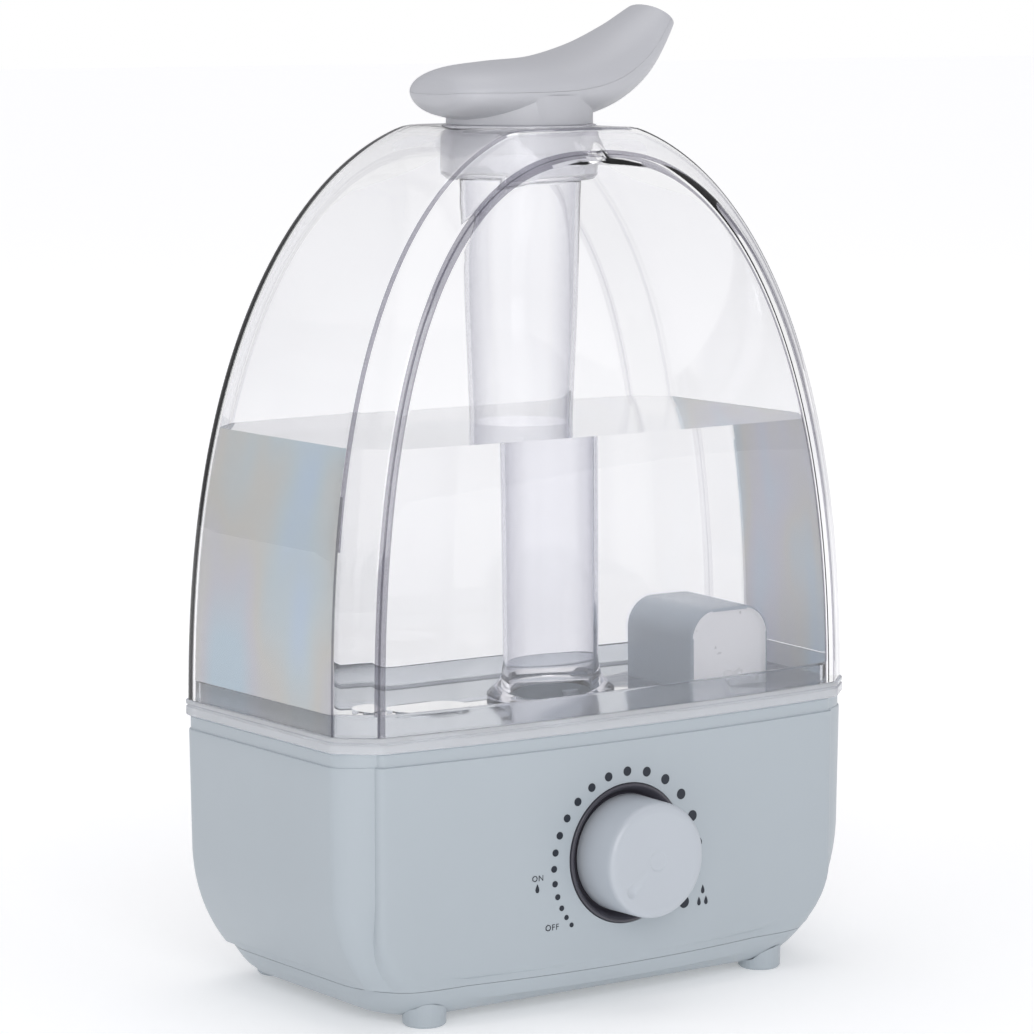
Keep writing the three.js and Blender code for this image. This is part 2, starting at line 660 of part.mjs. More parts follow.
// ---- filler cap and valve ----
function tankCap() {
  const { x, radius, floor, hole } = CAP;
  const ribs = [];
  for (let i = 0; i < 12; i++) {
    const rib = new THREE.BoxGeometry(1.2, 1.6, 8).translate(radius, 0, floor + 5.4);
    ribs.push(solid(rib.rotateZ((i * Math.PI) / 6).translate(x, 0, 0)));
  }
  const cup = turned([
    [hole, floor], [radius - 1, floor], [radius, floor + 1.2], [radius, 98.4], [17, 98.4],
    [17, floor + 2], [hole, floor + 2],
  ], x, 0);
  const spokes = [0, 1, 2].map((i) => {
    const spoke = new THREE.BoxGeometry(hole - 2, 1.6, 1.6).translate(hole / 2 + 2.2, 0, floor + 0.8);
    return solid(spoke.rotateZ((i * 2 * Math.PI) / 3).translate(x, 0, 0));
  });
  return joined(cup, ring(VALVE.rod + GAP, 4, floor, floor + 2.6, x, 0, 20), ...spokes, ...ribs);
}

const SEAT = CAP.floor + 2; // the valve's seal closes down onto this face
function valvePlunger() {
  const { foot, rod, open } = VALVE;
  const disk = SEAT + open + 1.5;
  return turned([
    [0, foot], [4.4, foot], [4.4, foot + 1.4], [rod, foot + 1.4], [rod, disk],
    [VALVE.disc - 2.6, disk], [VALVE.disc - 0.6, disk + 0.8], [3, disk + 2], [0, disk + 2],
  ], CAP.x, 0, 24);
}

function valveSpring() {
  const wire = 0.45;
  const turns = 5;
  const low = VALVE.foot + 1.4 + GAP + wire;
  const high = CAP.floor - GAP - wire;
  class Helix extends THREE.Curve {
    getPoint(t, target = new THREE.Vector3()) {
      const a = t * turns * 2 * Math.PI;
      return target.set(CAP.x + 3.2 * Math.cos(a), 3.2 * Math.sin(a), mix(low, high, t));
    }
  }
  const section = new THREE.Shape().absarc(0, 0, wire, 0, 2 * Math.PI);
  return solid(new THREE.ExtrudeGeometry(section, {
    steps: turns * 9,
    curveSegments: 3,
    extrudePath: new Helix(),
    bevelEnabled: false,
  }));
}

add("tank_cap", tankCap(), PALE);
add("cap_seal", ring(12.6, 16.7, SEAT + GAP, NECK_Z - GAP, CAP.x, 0), SILICONE);
add("valve_plunger", valvePlunger(), PALE);
add("valve_seal", ring(
  VALVE.rod + GAP, VALVE.disc - 0.4, SEAT + VALVE.open, SEAT + VALVE.open + 1.2, CAP.x, 0, 28,
), SILICONE);
add("valve_spring", valveSpring(), STEEL);

// ---- nozzle ----
// Side view of the nozzle's upper and lower edges, from its round end to its mouth.
const UPPER = [
  [-37.4, 314.2], [-36, 319.6], [-28, 323], [-12, 324.8], [8, 326.4], [26, 331], [41, 337.6], [52.5, 344],
];
const LOWER = [
  [-37.4, 312.8], [-35.8, 308.6], [-30.6, 305.4], [-14, 303.6], [12, 303.6], [32, 307.4], [49, 317.6],
  [62, 335],
];
const BREADTH = [
  [0, 2.4], [0.05, 10.6], [0.2, 18], [0.35, 23.4], [0.5, 25.2], [0.65, 24.4], [0.82, 19], [1, 12.5],
];

const curve = (points) => new THREE.SplineCurve(points.map(([x, y]) => new THREE.Vector2(x, y)));
const upperEdge = curve(UPPER);
const lowerEdge = curve(LOWER);

function breadth(t) {
  const i = Math.max(1, BREADTH.findIndex(([at]) => at >= t));
  const [t0, b0] = BREADTH[i - 1];
  const [t1, b1] = BREADTH[i];
  return mix(b0, b1, (t - t0) / (t1 - t0));
}

// A closed solid through rings of points, with a fan at each end.
function swept(rings) {
  const count = rings[0].length;
  const points = rings.flat();
  const triangles = [];
  for (let r = 0; r + 1 < rings.length; r++) {
    for (let i = 0; i < count; i++) {
      const a = r * count + i;
      const b = r * count + ((i + 1) % count);
      triangles.push(a, b, b + count, a, b + count, a + count);
    }
  }
  const last = (rings.length - 1) * count;
  for (let i = 1; i + 1 < count; i++) {
    triangles.push(0, i + 1, i, last, last + i, last + i + 1);
  }
  const g = new THREE.BufferGeometry().setFromPoints(points);
  return solid(g.setIndex(triangles));
}

function nozzleForm(inset, from, to) {
  const rings = [];
  const steps = 12;
  for (let k = 0; k <= steps; k++) {
    const t = mix(from, to, k / steps);
    const high = upperEdge.getPoint(Math.min(t, 1));
    const low = lowerEdge.getPoint(Math.min(t, 1));
    const centre = high.clone().add(low).multiplyScalar(0.5);
    const axis = high.clone().sub(low);
    const tall = axis.length() / 2 - inset;
    axis.normalize();
    if (t > 1) centre.add(new THREE.Vector2(axis.y, -axis.x).multiplyScalar((t - 1) * 60));
    const wide = breadth(Math.min(t, 1)) - inset;
    const points = [];
    for (let i = 0; i < 16; i++) {
      const a = (i / 16) * 2 * Math.PI;
      const s = Math.sin(a) * tall;
      points.push(new THREE.Vector3(centre.x + axis.x * s, Math.cos(a) * wide, centre.y + axis.y * s));
    }
    rings.push(points);
  }
  return swept(rings);
}

function nozzleHalves() {
  const neck = disc(NECK.outer, NECK.bottom, 314, 0, 0, 32);
  const body = cut(
    joined(nozzleForm(0, 0, 1), neck),
    nozzleForm(1.8, 0.1, 1.05),
    disc(NECK.inner, 0, 314, 0, 0, 32),
  );
  const seamLine = [];
  for (let k = 0; k <= 20; k++) {
    const t = k / 20;
    const high = upperEdge.getPoint(t);
    const low = lowerEdge.getPoint(t);
    seamLine.push([(high.x + low.x) / 2, (high.y + low.y) / 2]);
  }
  seamLine[0][0] -= 5;
  seamLine[20][0] += 5;
  seamLine[20][1] += 3;
  const sheet = moulded(1, 20, 1, (across, along, up) => [
    seamLine[along][0], -across * 40, seamLine[along][1] + (up ? GAP / 2 : -GAP / 2),
  ]);
  const halves = cut(body, sheet).decompose();
  return halves.sort((a, b) => a.boundingBox().min[2] - b.boundingBox().min[2]);
}

const [nozzleBody, nozzleCover] = nozzleHalves();
add("nozzle_body", nozzleBody, PALE);
add("nozzle_cover", nozzleCover, PALE);
add("nozzle_ring", turned([
  [20.2, COLLAR.bottom + 2.3], [25, COLLAR.bottom + 2.3], [25, 292],
  [23.8, 292], [23.8, 287.4], [20.2, 287.4],
], 0, 0, 32), PALE);

export default humidifier;
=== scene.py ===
"""Looks of a cool mist humidifier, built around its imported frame.

Metres, +Z up, the dial faces -Y. Shapes are made in millimetres about the middle of the tank,
as in the CAD, and piece() turns them into metres and sets them back by SET_BACK.
"""

import json
import math

import bmesh
import bpy
import numpy as np
from mathutils import Matrix, Vector
from mathutils.kdtree import KDTree


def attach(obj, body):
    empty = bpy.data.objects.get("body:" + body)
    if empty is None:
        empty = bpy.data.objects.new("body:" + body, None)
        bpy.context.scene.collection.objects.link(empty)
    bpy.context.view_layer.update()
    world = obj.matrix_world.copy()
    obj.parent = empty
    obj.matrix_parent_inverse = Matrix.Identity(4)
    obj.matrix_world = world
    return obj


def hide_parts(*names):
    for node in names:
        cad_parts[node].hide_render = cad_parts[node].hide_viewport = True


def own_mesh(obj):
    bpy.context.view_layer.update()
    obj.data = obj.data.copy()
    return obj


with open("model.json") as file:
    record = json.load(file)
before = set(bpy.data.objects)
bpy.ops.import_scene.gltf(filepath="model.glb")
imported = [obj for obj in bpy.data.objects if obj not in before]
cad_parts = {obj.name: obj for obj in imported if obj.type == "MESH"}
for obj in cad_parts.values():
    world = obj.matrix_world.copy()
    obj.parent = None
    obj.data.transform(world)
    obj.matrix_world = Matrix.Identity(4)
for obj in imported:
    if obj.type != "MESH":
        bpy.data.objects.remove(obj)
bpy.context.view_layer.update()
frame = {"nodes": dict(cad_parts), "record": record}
scene = bpy.context.scene

# ---- driving dimensions, in millimetres, as in the CAD ----
MM = 0.001
SET_BACK = 8.0
GAP = 0.3
WALL = 2.4
HOUSING_WALL = 2.6
BAND_WIDTH, PLATE_WIDTH = 220.0, 196.4
PLATE_DEPTH, STEP_DEPTH, BULGE = 114.6, 10.9, 5.0
SEAM, BAND_TOP, PLATE_TOP = 97.2, 302.2, 294.0
BULGE_REACH = 3.0  # the bulge of the base's plates ends this far behind their front
LEDGE_HEIGHT, LEDGE_INSET = 4.9, 0.7
BODY_BOTTOM, PARTING = 2.5, 14.0
PLATE_CORNER, SIDE_CORNER, CORNER_DEPTH = 34.0, 18.0, 26.0
EDGE_ROUND, UNDER_ROUND = 3.0, 14.0
POD_BOTTOM, POD_CORNER, POD_STRAIGHT = 14.6, 59.0, 52.0
DECK = 94.6
BASIN = dict(x0=-82.0, x1=36.0, y=38.0, round=14.0)
KNOB = dict(x=1.5, z=53.0, radius=20.2, out=17.6, groove=24.4)
FRONT = -(PLATE_DEPTH / 2 + BULGE)
RECESS = dict(radius=KNOB["groove"] + GAP, depth=4.4, floor=2.6)
DIAL_OFF = -140.0
TOWER = dict(x=63.5, width=21.0, depth=32.0)
HUMP = dict(x=63.7, width=35.4, depth=57.0, top=130.5, round=11.0)
CAP_X = -50.0
COLLAR = dict(outer=27.0, inner=25.1, bottom=283.4)
TUBE = dict(top=21.0, bottom=17.9, wall=1.6, foot=24.0)
NECK = dict(outer=23.5, inner=21.8, bottom=287.8, top=314.0, lip=25.8, lip_low=302.9, lip_high=313.0)
FLOOR = dict(under=99.6, top=102.0, flange=102.6)
FILLER = dict(inner=14.5, outer=16.5, bottom=91.0)
RIM_GROOVE = (100.3, 100.7, 101.0, 101.4)
UPSTAND = dict(shoulder=109.2, top=109.8, outside=WALL + 0.25, inside=WALL + 1.9)
SPRING = dict(low=78.7, high=86.3, radius=3.2, wire=0.45, turns=5, travel=1.5)
WATER_LEVEL = 198.0
GLAND = dict(x=-58.0, z=32.0, radius=6.0)
PILLARS = [(-70, 27), (-70, -27), (26, 27), (26, -27)]
SCREW = dict(boss=4.4, boss_top=11.7, hole=1.9, head=3.6)
GRILLE = dict(x=63.5, half=22.0, short=14.0, top=12.0)
TALL = 400.0  # past every part of the object
ABOVE_FLOOR = 150.0  # past the tank's floor
BAND_ARCH = dict(rise=208.6, wide=2.2, tall=2.44)
PLATE_ARCH = dict(rise=PLATE_TOP - SEAM, wide=2.37, tall=2.37)

# ---- camera ----
CAMERA_AT = (-0.85426, -1.18656, 0.35163)
CAMERA_AIM = (-0.001042, 0.008, 0.163826)
LENS, SENSOR = 145.40, 36.0
cam_data = bpy.data.cameras.new("camera")
cam_data.sensor_width = SENSOR
cam_data.lens = LENS
cam_data.clip_end = 50.0
camera = bpy.data.objects.new("camera", cam_data)
scene.collection.objects.link(camera)
camera.location = CAMERA_AT
camera.rotation_euler = (Vector(CAMERA_AIM) - Vector(CAMERA_AT)).to_track_quat("-Z", "Y").to_euler()
scene.camera = camera


# ---- small mathematics ----
def mix(a, b, s):
    return a + (b - a) * s


def smooth(t):
    return t * t * (3 - 2 * t)


def rounding(radius, depth):
    """How far a quarter round of that radius has drawn back at a depth behind its front."""
    return 0.0 if depth >= radius else radius - math.sqrt(radius**2 - (radius - depth) ** 2)


def height_share(z):
    return max(0.0, (z - SEAM) / (BAND_TOP - SEAM))


def lean(z):
    u = height_share(z)
    return 1.4 * u + 11 * u * u


def bulge(across, z):
    return BULGE * (1 - across**2) * (1 - 0.45 * height_share(z))


# ---- meshes ----
def mesh_of(points, faces):
    mesh = bpy.data.meshes.new("shape")
    mesh.from_pydata([tuple(p) for p in points], [], faces)
    mesh.validate()
    return mesh


def outward(mesh):
    """The same mesh with every face turned to point out of its solid."""
    bm = bmesh.new()
    bm.from_mesh(mesh)
    bmesh.ops.recalc_face_normals(bm, faces=bm.faces)
    bm.to_mesh(mesh)
    bm.free()
    return mesh


def moulded(columns, stations, rows, shape):
    """The surface of a box of grid cells, its points moved by shape(across, along, up)."""
    index, points, faces = {}, [], []
    counts = (columns, stations, rows)

    def corner(*ijk):
        if ijk not in index:
            index[ijk] = len(points)
            points.append(shape(2 * ijk[0] / columns - 1, ijk[1], ijk[2]))
        return index[ijk]

    for axis in range(3):
        u, v = [a for a in range(3) if a != axis]
        for end in (0, counts[axis]):
            for a in range(counts[u]):
                for b in range(counts[v]):
                    quad = []
                    for da, db in ((0, 0), (1, 0), (1, 1), (0, 1)):
                        ijk = [0, 0, 0]
                        ijk[axis], ijk[u], ijk[v] = end, a + da, b + db
                        quad.append(corner(*ijk))
                    faces.append(quad)
    return outward(mesh_of(points, faces))


def turned(profile, x=0.0, y=0.0, sides=96):
    """A solid of revolution about an upright axis from a closed loop of (radius, z) points."""
    points, faces, rows = [], [], []
    for r, z in profile:
        if r < 1e-6:
            rows.append([len(points)] * sides)
            points.append((x, y, z))
        else:
            rows.append(list(range(len(points), len(points) + sides)))
            for i in range(sides):
                a = 2 * math.pi * i / sides
                points.append((x + r * math.cos(a), y + r * math.sin(a), z))
    closed = profile[0][0] > 1e-6
    for k in range(len(rows) if closed else len(rows) - 1):
        low, high = rows[k], rows[(k + 1) % len(rows)]
        for i in range(sides):
            j = (i + 1) % sides
            quad = [low[i], low[j], high[j], high[i]]
            quad = [q for n, q in enumerate(quad) if q != quad[n - 1]]
            if len(quad) > 2:
                faces.append(quad)
    return outward(mesh_of(points, faces))


def softened(profile, radius, steps=4, closed=True):
    """The loop with each corner turned into a small round, smaller where its edges are short."""
    result = []
    count = len(profile)
    for n, (px, py) in enumerate(profile):
        corner = Vector((px, py))
        if not closed and n in (0, count - 1):
            result.append((px, py))
            continue
        before = Vector(profile[n - 1]) - corner
        after = Vector(profile[(n + 1) % count]) - corner
        if px < 1e-6 or before.length < 1e-6 or after.length < 1e-6:
            result.append((px, py))
            continue
        reach = min(radius, 0.45 * before.length, 0.45 * after.length)
        start, end = corner + before.normalized() * reach, corner + after.normalized() * reach
        result += [(p.x, p.y) for p in curved(start, corner, end, steps)]
    return result


def lathe(profile, radius=0.5, x=0.0, y=0.0, sides=96, steps=4):
    closed = profile[0][0] > 1e-6
    return turned(softened(profile, radius, steps, closed), x, y, sides)


def disc(r, z0, z1, x=0.0, y=0.0, sides=96):
    return turned([(0, z0), (r, z0), (r, z1), (0, z1)], x, y, sides)


def curved(start, corner, end, steps=5):
    """Points from start to end on a curve that bends towards corner."""
    result = []
    for k in range(steps + 1):
        t = k / steps
        result.append(start * (1 - t) ** 2 + corner * 2 * t * (1 - t) + end * t * t)
    return result


def loft_faces(count, rows):
    """The faces of a closed skin over rows of count points each."""
    faces = [list(range(count)), list(range((rows - 1) * count, rows * count))]
    for row in range(rows - 1):
        low, high = row * count, (row + 1) * count
        for i in range(count):
            j = (i + 1) % count
            faces.append([low + i, low + j, high + j, high + i])
    return faces


def lofted(outlines):
    """A solid through outlines that have the same number of points."""
    points = [p for outline in outlines for p in outline]
    return outward(mesh_of(points, loft_faces(len(outlines[0]), len(outlines))))


def prism(outline, z0, z1):
    return lofted([[(x, y, z) for x, y in outline] for z in (z0, z1)])


def box(x0, x1, y0, y1, z0, z1):
    return prism([(x0, y0), (x1, y0), (x1, y1), (x0, y1)], z0, z1)


def rounded_outline(x0, x1, y0, y1, r, steps=10):
    result = []
    for cx, cy, start in (
        (x1 - r, y1 - r, 0), (x0 + r, y1 - r, 90), (x0 + r, y0 + r, 180), (x1 - r, y0 + r, 270),
    ):
        for k in range(steps + 1):
            a = math.radians(start + 90 * k / steps)
            result.append((cx + r * math.cos(a), cy + r * math.sin(a)))
    return result


def moved(mesh, matrix):
    mesh.transform(matrix)
    return mesh


def on_face(mesh, x=KNOB["x"], y=FRONT, z=KNOB["z"]):
    """A shape made about an upright axis, laid down so that its z runs back from the front face."""
    return moved(mesh, Matrix.Translation((x, y, z)) @ Matrix.Rotation(-math.pi / 2, 4, "X"))


def boolean(mesh, tool, operation):
    first, second = (bpy.data.objects.new("working", m) for m in (mesh, tool))
    for o in (first, second):
        scene.collection.objects.link(o)
    step = first.modifiers.new("boolean", "BOOLEAN")
    step.operation, step.solver, step.object = operation, "MANIFOLD", second
    done = bpy.data.meshes.new_from_object(
        first.evaluated_get(bpy.context.evaluated_depsgraph_get())
    )
    for o in (first, second):
        bpy.data.objects.remove(o)
    for m in (mesh, tool):
        bpy.data.meshes.remove(m)
    return done


def joined(mesh, *others):
    for other in others:
        mesh = boolean(mesh, other, "UNION")
    return mesh


def cut(mesh, *tools):
    for tool in tools:
        mesh = boolean(mesh, tool, "DIFFERENCE")
    return mesh


def above(z):
    return box(-TALL, TALL, -TALL, TALL, z, TALL)


def below(z):
    return box(-TALL, TALL, -TALL, TALL, -TALL, z)


def piece(name, mesh, body, material, replaces=(), sharp=32.0, special=()):
    """Puts a finished shape in the scene as a piece that rides on a CAD body.

    special is pairs of a material and a test of a face's centre and normal, in millimetres."""
    mesh.materials.clear()
    mesh.materials.append(material)
    for place, (other, chosen) in enumerate(special, 1):
        mesh.materials.append(other)
        for face in mesh.polygons:
            if chosen(face.center, face.normal):
                face.material_index = place
    mesh.transform(Matrix.Scale(MM, 4) @ Matrix.Translation((0, SET_BACK, 0)))
    mesh.name = name
    mesh.shade_smooth()
    mesh.set_sharp_from_angle(angle=math.radians(sharp))
    o = bpy.data.objects.new(name, mesh)
    scene.collection.objects.link(o)
    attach(o, body)
    if replaces:
        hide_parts(*replaces)
    return o


# ---- materials ----
def shader(name):
    material = bpy.data.materials.new(name)
    material.use_nodes = True
    tree = material.node_tree
    tree.nodes.clear()
    out = tree.nodes.new("ShaderNodeOutputMaterial")
    surface = tree.nodes.new("ShaderNodeBsdfPrincipled")
    tree.links.new(surface.outputs["BSDF"], out.inputs["Surface"])
    return material, tree, surface, out


def noise(tree, scale, detail=3.0, rough=0.5, stretch=None):
    place = tree.nodes.new("ShaderNodeTexCoord")
    texture = tree.nodes.new("ShaderNodeTexNoise")
    texture.inputs["Scale"].default_value = scale
    texture.inputs["Detail"].default_value = detail
    texture.inputs["Roughness"].default_value = rough
    source = place.outputs["Object"]
    if stretch:
        mapping = tree.nodes.new("ShaderNodeMapping")
        mapping.inputs["Scale"].default_value = stretch
        tree.links.new(source, mapping.inputs["Vector"])
        source = mapping.outputs["Vector"]
    tree.links.new(source, texture.inputs["Vector"])
    return texture.outputs["Fac"]


def ramp(tree, factor, stops):
    node = tree.nodes.new("ShaderNodeValToRGB")
    while len(node.color_ramp.elements) < len(stops):
        node.color_ramp.elements.new(0.5)
    for element, (at, colour) in zip(node.color_ramp.elements, stops):
        element.position = at
        element.color = (*colour, 1.0) if len(colour) == 3 else colour
    tree.links.new(factor, node.inputs["Fac"])
    return node.outputs["Color"]


def spread(tree, factor, low, high):
    node = tree.nodes.new("ShaderNodeMapRange")
    node.inputs["To Min"].default_value = low
    node.inputs["To Max"].default_value = high
    tree.links.new(factor, node.inputs["Value"])
    return node.outputs["Result"]


def bumped(tree, surface, height, strength, distance):
    node = tree.nodes.new("ShaderNodeBump")
    node.inputs["Strength"].default_value = strength
    node.inputs["Distance"].default_value = distance
    tree.links.new(height, node.inputs["Height"])
    tree.links.new(node.outputs["Normal"], surface.inputs["Normal"])


def shades(colour, amount):
    """Three near shades of one colour, for a surface that isn't perfectly even."""
    return [
        (0.3, tuple(c * (1 - amount) for c in colour)),
        (0.5, colour),
        (0.7, tuple(min(1.0, c * (1 + amount)) for c in colour)),
    ]


def moulded_plastic(name, colour, roughness, grain=900.0, grain_depth=0.00004, vary=0.02, coat=0.0):
    """Injection-moulded plastic: a fine eggshell grain, long faint flow marks and uneven gloss."""
    material, tree, surface, _ = shader(name)
    flow = noise(tree, 9.0, 4.0, 0.6, (1.0, 1.0, 0.35))
    tree.links.new(ramp(tree, flow, shades(colour, vary)), surface.inputs["Base Color"])
    gloss = noise(tree, 60.0, 5.0, 0.6)
    tree.links.new(
        spread(tree, gloss, roughness * 0.85, roughness * 1.2), surface.inputs["Roughness"]
    )
    bumped(tree, surface, noise(tree, grain, 2.0), 0.25, grain_depth)
    surface.inputs["Specular IOR Level"].default_value = 0.5
    surface.inputs["Coat Weight"].default_value = coat
    surface.inputs["Coat Roughness"].default_value = 0.15
    return material


def see_through(
    name, tint, ior, roughness=0.0, ripple=0.0, ripple_scale=40.0, stretch=None, stops=None,
    passes=1.0, rim=None, rim_shade_from=0.5,
):
    """Clear plastic or water. Lamps shine through it, so what stands in it isn't in its shadow. A rim
    colour paints shade into it, darkening the colour where the surface turns away towards its outline.
    """
    material, tree, surface, out = shader(name)
    surface.inputs["Transmission Weight"].default_value = passes
    surface.inputs["IOR"].default_value = ior
    cloud = noise(tree, 11.0, 2.0, 0.5, stretch)
    colour = ramp(tree, cloud, stops or shades(tint, 0.012))
    # Painted shade: the colour darkens towards the rim colour where the surface turns away from view.
    if rim:
        facing = tree.nodes.new("ShaderNodeLayerWeight")
        facing.inputs["Blend"].default_value = 0.5
        white = (1, 1, 1)
        painted_rim_shade = ramp(tree, facing.outputs["Facing"], [(0.0, white), (rim_shade_from, white), (0.97, rim)])
        both = tree.nodes.new("ShaderNodeMix")
        both.data_type, both.blend_type = "RGBA", "MULTIPLY"
        both.inputs["Factor"].default_value = 1.0
        tree.links.new(colour, both.inputs["A"])
        tree.links.new(painted_rim_shade, both.inputs["B"])
        colour = both.outputs["Result"]
    tree.links.new(colour, surface.inputs["Base Color"])
    if roughness:
        haze = noise(tree, 90.0, 4.0, 0.6)
        tree.links.new(spread(tree, haze, roughness * 0.7, roughness * 1.3), surface.inputs["Roughness"])
    else:
        surface.inputs["Roughness"].default_value = 0.0
    if ripple:
        bumped(tree, surface, noise(tree, ripple_scale, 2.0, 0.5, stretch), 0.35, ripple)
    path = tree.nodes.new("ShaderNodeLightPath")
    clear = tree.nodes.new("ShaderNodeBsdfTransparent")
    clear.inputs["Color"].default_value = (*tint, 1.0)
    choose = tree.nodes.new("ShaderNodeMixShader")
    tree.links.new(path.outputs["Is Shadow Ray"], choose.inputs["Fac"])
    tree.links.new(surface.outputs["BSDF"], choose.inputs[1])
    tree.links.new(clear.outputs["BSDF"], choose.inputs[2])
    tree.links.new(choose.outputs["Shader"], out.inputs["Surface"])
    return material


def metal(name, colour, roughness, stretch=(1.0, 1.0, 30.0)):
    material, tree, surface, _ = shader(name)
    surface.inputs["Metallic"].default_value = 1.0
    brush = noise(tree, 120.0, 6.0, 0.7, stretch)
    tree.links.new(ramp(tree, brush, shades(colour, 0.08)), surface.inputs["Base Color"])
    tree.links.new(
        spread(tree, brush, roughness * 0.7, roughness * 1.4), surface.inputs["Roughness"]
    )
    bumped(tree, surface, brush, 0.15, 0.00005)
    return material


def rubbery(name, colour, roughness):
    material, tree, surface, _ = shader(name)
    dust = noise(tree, 45.0, 5.0, 0.65)
    tree.links.new(ramp(tree, dust, shades(colour, 0.12)), surface.inputs["Base Color"])
    tree.links.new(
        spread(tree, dust, roughness * 0.85, min(1.0, roughness * 1.15)), surface.inputs["Roughness"]
    )
    bumped(tree, surface, noise(tree, 700.0, 3.0), 0.3, 0.0001)
    return material


SHELL = moulded_plastic("shell_plastic", (0.43, 0.478, 0.515), 0.34)
PALE = moulded_plastic("pale_plastic", (0.49, 0.525, 0.57), 0.32, vary=0.015, coat=0.1)
NOZZLE = moulded_plastic("nozzle_plastic", (0.5, 0.505, 0.535), 0.4, vary=0.015)
DARK = moulded_plastic("dark_plastic", (0.05, 0.048, 0.062), 0.3, vary=0.15, coat=0.25)
PRINT = moulded_plastic("printed_ink", (0.008, 0.013, 0.024), 0.45, vary=0.2)
# The rim colours of the clear parts below are painted shade along their outlines.
TANK = see_through(
    "clear_plastic", (0.976, 0.976, 0.98), 1.49, ripple=0.00006, ripple_scale=14.0,
    rim=(0.84, 0.835, 0.865), rim_shade_from=0.35,
)
# Darker copies of the clear plastic for the faces along the tank's arched edges: painted shade for the
# dark lines that thick moulded edges show, dark on the front edges and light grey on the back ones.
PAINTED_EDGE_SHADE = see_through("clear_plastic_painted_edge_shade", (0.19, 0.185, 0.225), 1.49, 0.03)
PAINTED_BACK_EDGE_SHADE = see_through("clear_plastic_back_painted_edge_shade", (0.78, 0.775, 0.8), 1.49, 0.03)
# A darker copy of the clear plastic for the tank's side faces: painted shade for the sides, which are seen
# at a slant.
TANK_SIDE_PAINTED_SHADE = see_through(
    "clear_plastic_side_painted_shade", (0.945, 0.945, 0.952), 1.49, ripple=0.00006, ripple_scale=14.0,
    rim=(0.86, 0.855, 0.88),
)
PIPE = see_through(
    "pipe_plastic", (0.975, 0.975, 0.982), 1.2, 0.04, ripple=0.0001, ripple_scale=60.0,
    rim=(0.56, 0.56, 0.61), rim_shade_from=0.1,
)
CUP = see_through(
    "cup_plastic", (0.97, 0.97, 0.99), 1.3, 0.12, ripple=0.0002, ripple_scale=70.0,
    rim=(0.68, 0.67, 0.73), rim_shade_from=0.3, passes=0.75,
)
RIM = see_through("rim_plastic", (0.83, 0.845, 0.87), 1.4, 0.16, passes=0.55, rim=(0.85, 0.85, 0.88))
FLOOR_PLASTIC = see_through(
    "floor_plastic", (0.66, 0.69, 0.73), 1.49, 0.1, ripple=0.0004, ripple_scale=60.0,
    stretch=(0.3, 3.0, 1.0),
)
# The recess hood is one frosted plastic in two copies: grey on its sides and top, painted shade for the
# light that its hollow turns back, and near white on its front and back.
HOOD_SIDE_PAINTED_SHADE = see_through("recess_side_painted_shade", (0.42, 0.475, 0.53), 1.3, 0.22, passes=0.2, ripple=0.0002)
HOOD_FRONT = see_through("recess_front", (0.98, 0.98, 0.985), 1.15, 0.3, passes=0.3, ripple=0.0002)
WATER = see_through("water", (0.85, 0.85, 0.855), 1.333)
WATER_TOP = see_through("water_top", (0.99, 0.99, 1.0), 1.06, 0.1, ripple=0.0003)
# Where water wets another part there is no air between them, so nothing is mirrored there.
WATER_INSIDE = see_through("water_inside", (0.97, 0.97, 1.0), 1.0)
# Water seen through the tank's side panels is painted: its side faces are an opaque bluish grey, painted
# shade for the slanting view through the panels, with the faint rainbow of strained plastic.
STRAIN_AND_PAINTED_SHADE = [
    (0.3, (0.44, 0.56, 0.65)), (0.42, (0.51, 0.51, 0.56)), (0.5, (0.53, 0.52, 0.49)),
    (0.6, (0.47, 0.545, 0.585)), (0.72, (0.41, 0.53, 0.7)),
]
WATER_SIDE_PAINTED_SHADE = see_through(
    "water_side_painted_shade", (0.78, 0.82, 0.88), 1.333, 0.6, stretch=(0.7, 1.6, 0.8), passes=0.0, stops=STRAIN_AND_PAINTED_SHADE,
)
# The far side is a lighter, partly clear copy of the same painted shade.
WATER_FAR_SIDE_PAINTED_SHADE = see_through(
    "water_far_side_painted_shade", (0.78, 0.82, 0.88), 1.333, 0.6, stretch=(0.7, 1.6, 0.8), passes=0.35,
    stops=[(place, (1.5 * red, 1.5 * green, 1.55 * blue)) for place, (red, green, blue) in STRAIN_AND_PAINTED_SHADE],
)
RUBBER = rubbery("black_rubber", (0.03, 0.03, 0.033), 0.75)
SILICONE = rubbery("silicone", (0.72, 0.73, 0.74), 0.5)
BOARD = rubbery("circuit_board", (0.02, 0.16, 0.06), 0.4)
WIRE = rubbery("wire_insulation", (0.5, 0.03, 0.02), 0.45)
CERAMIC = rubbery("ceramic", (0.78, 0.75, 0.66), 0.25)
STEEL = metal("steel", (0.56, 0.57, 0.59), 0.3)
ALUMINIUM = metal("aluminium", (0.68, 0.69, 0.71), 0.38, (30.0, 1.0, 1.0))

LOOKS = {
    "base_shell": SHELL, "clear_plastic": TANK, "pale_plastic": PALE, "dark_plastic": DARK,
    "rubber": RUBBER, "silicone": SILICONE, "board": BOARD, "steel": STEEL,
    "aluminium": ALUMINIUM, "ceramic": CERAMIC, "wire": WIRE,
}
for entry in frame["record"]["subparts"]:
    node = frame["nodes"][entry["node"]]
    node.data.materials.clear()
    node.data.materials.append(LOOKS[entry["material_slot"]])
    node.data.shade_smooth()
    node.data.set_sharp_from_angle(angle=math.radians(35.0))


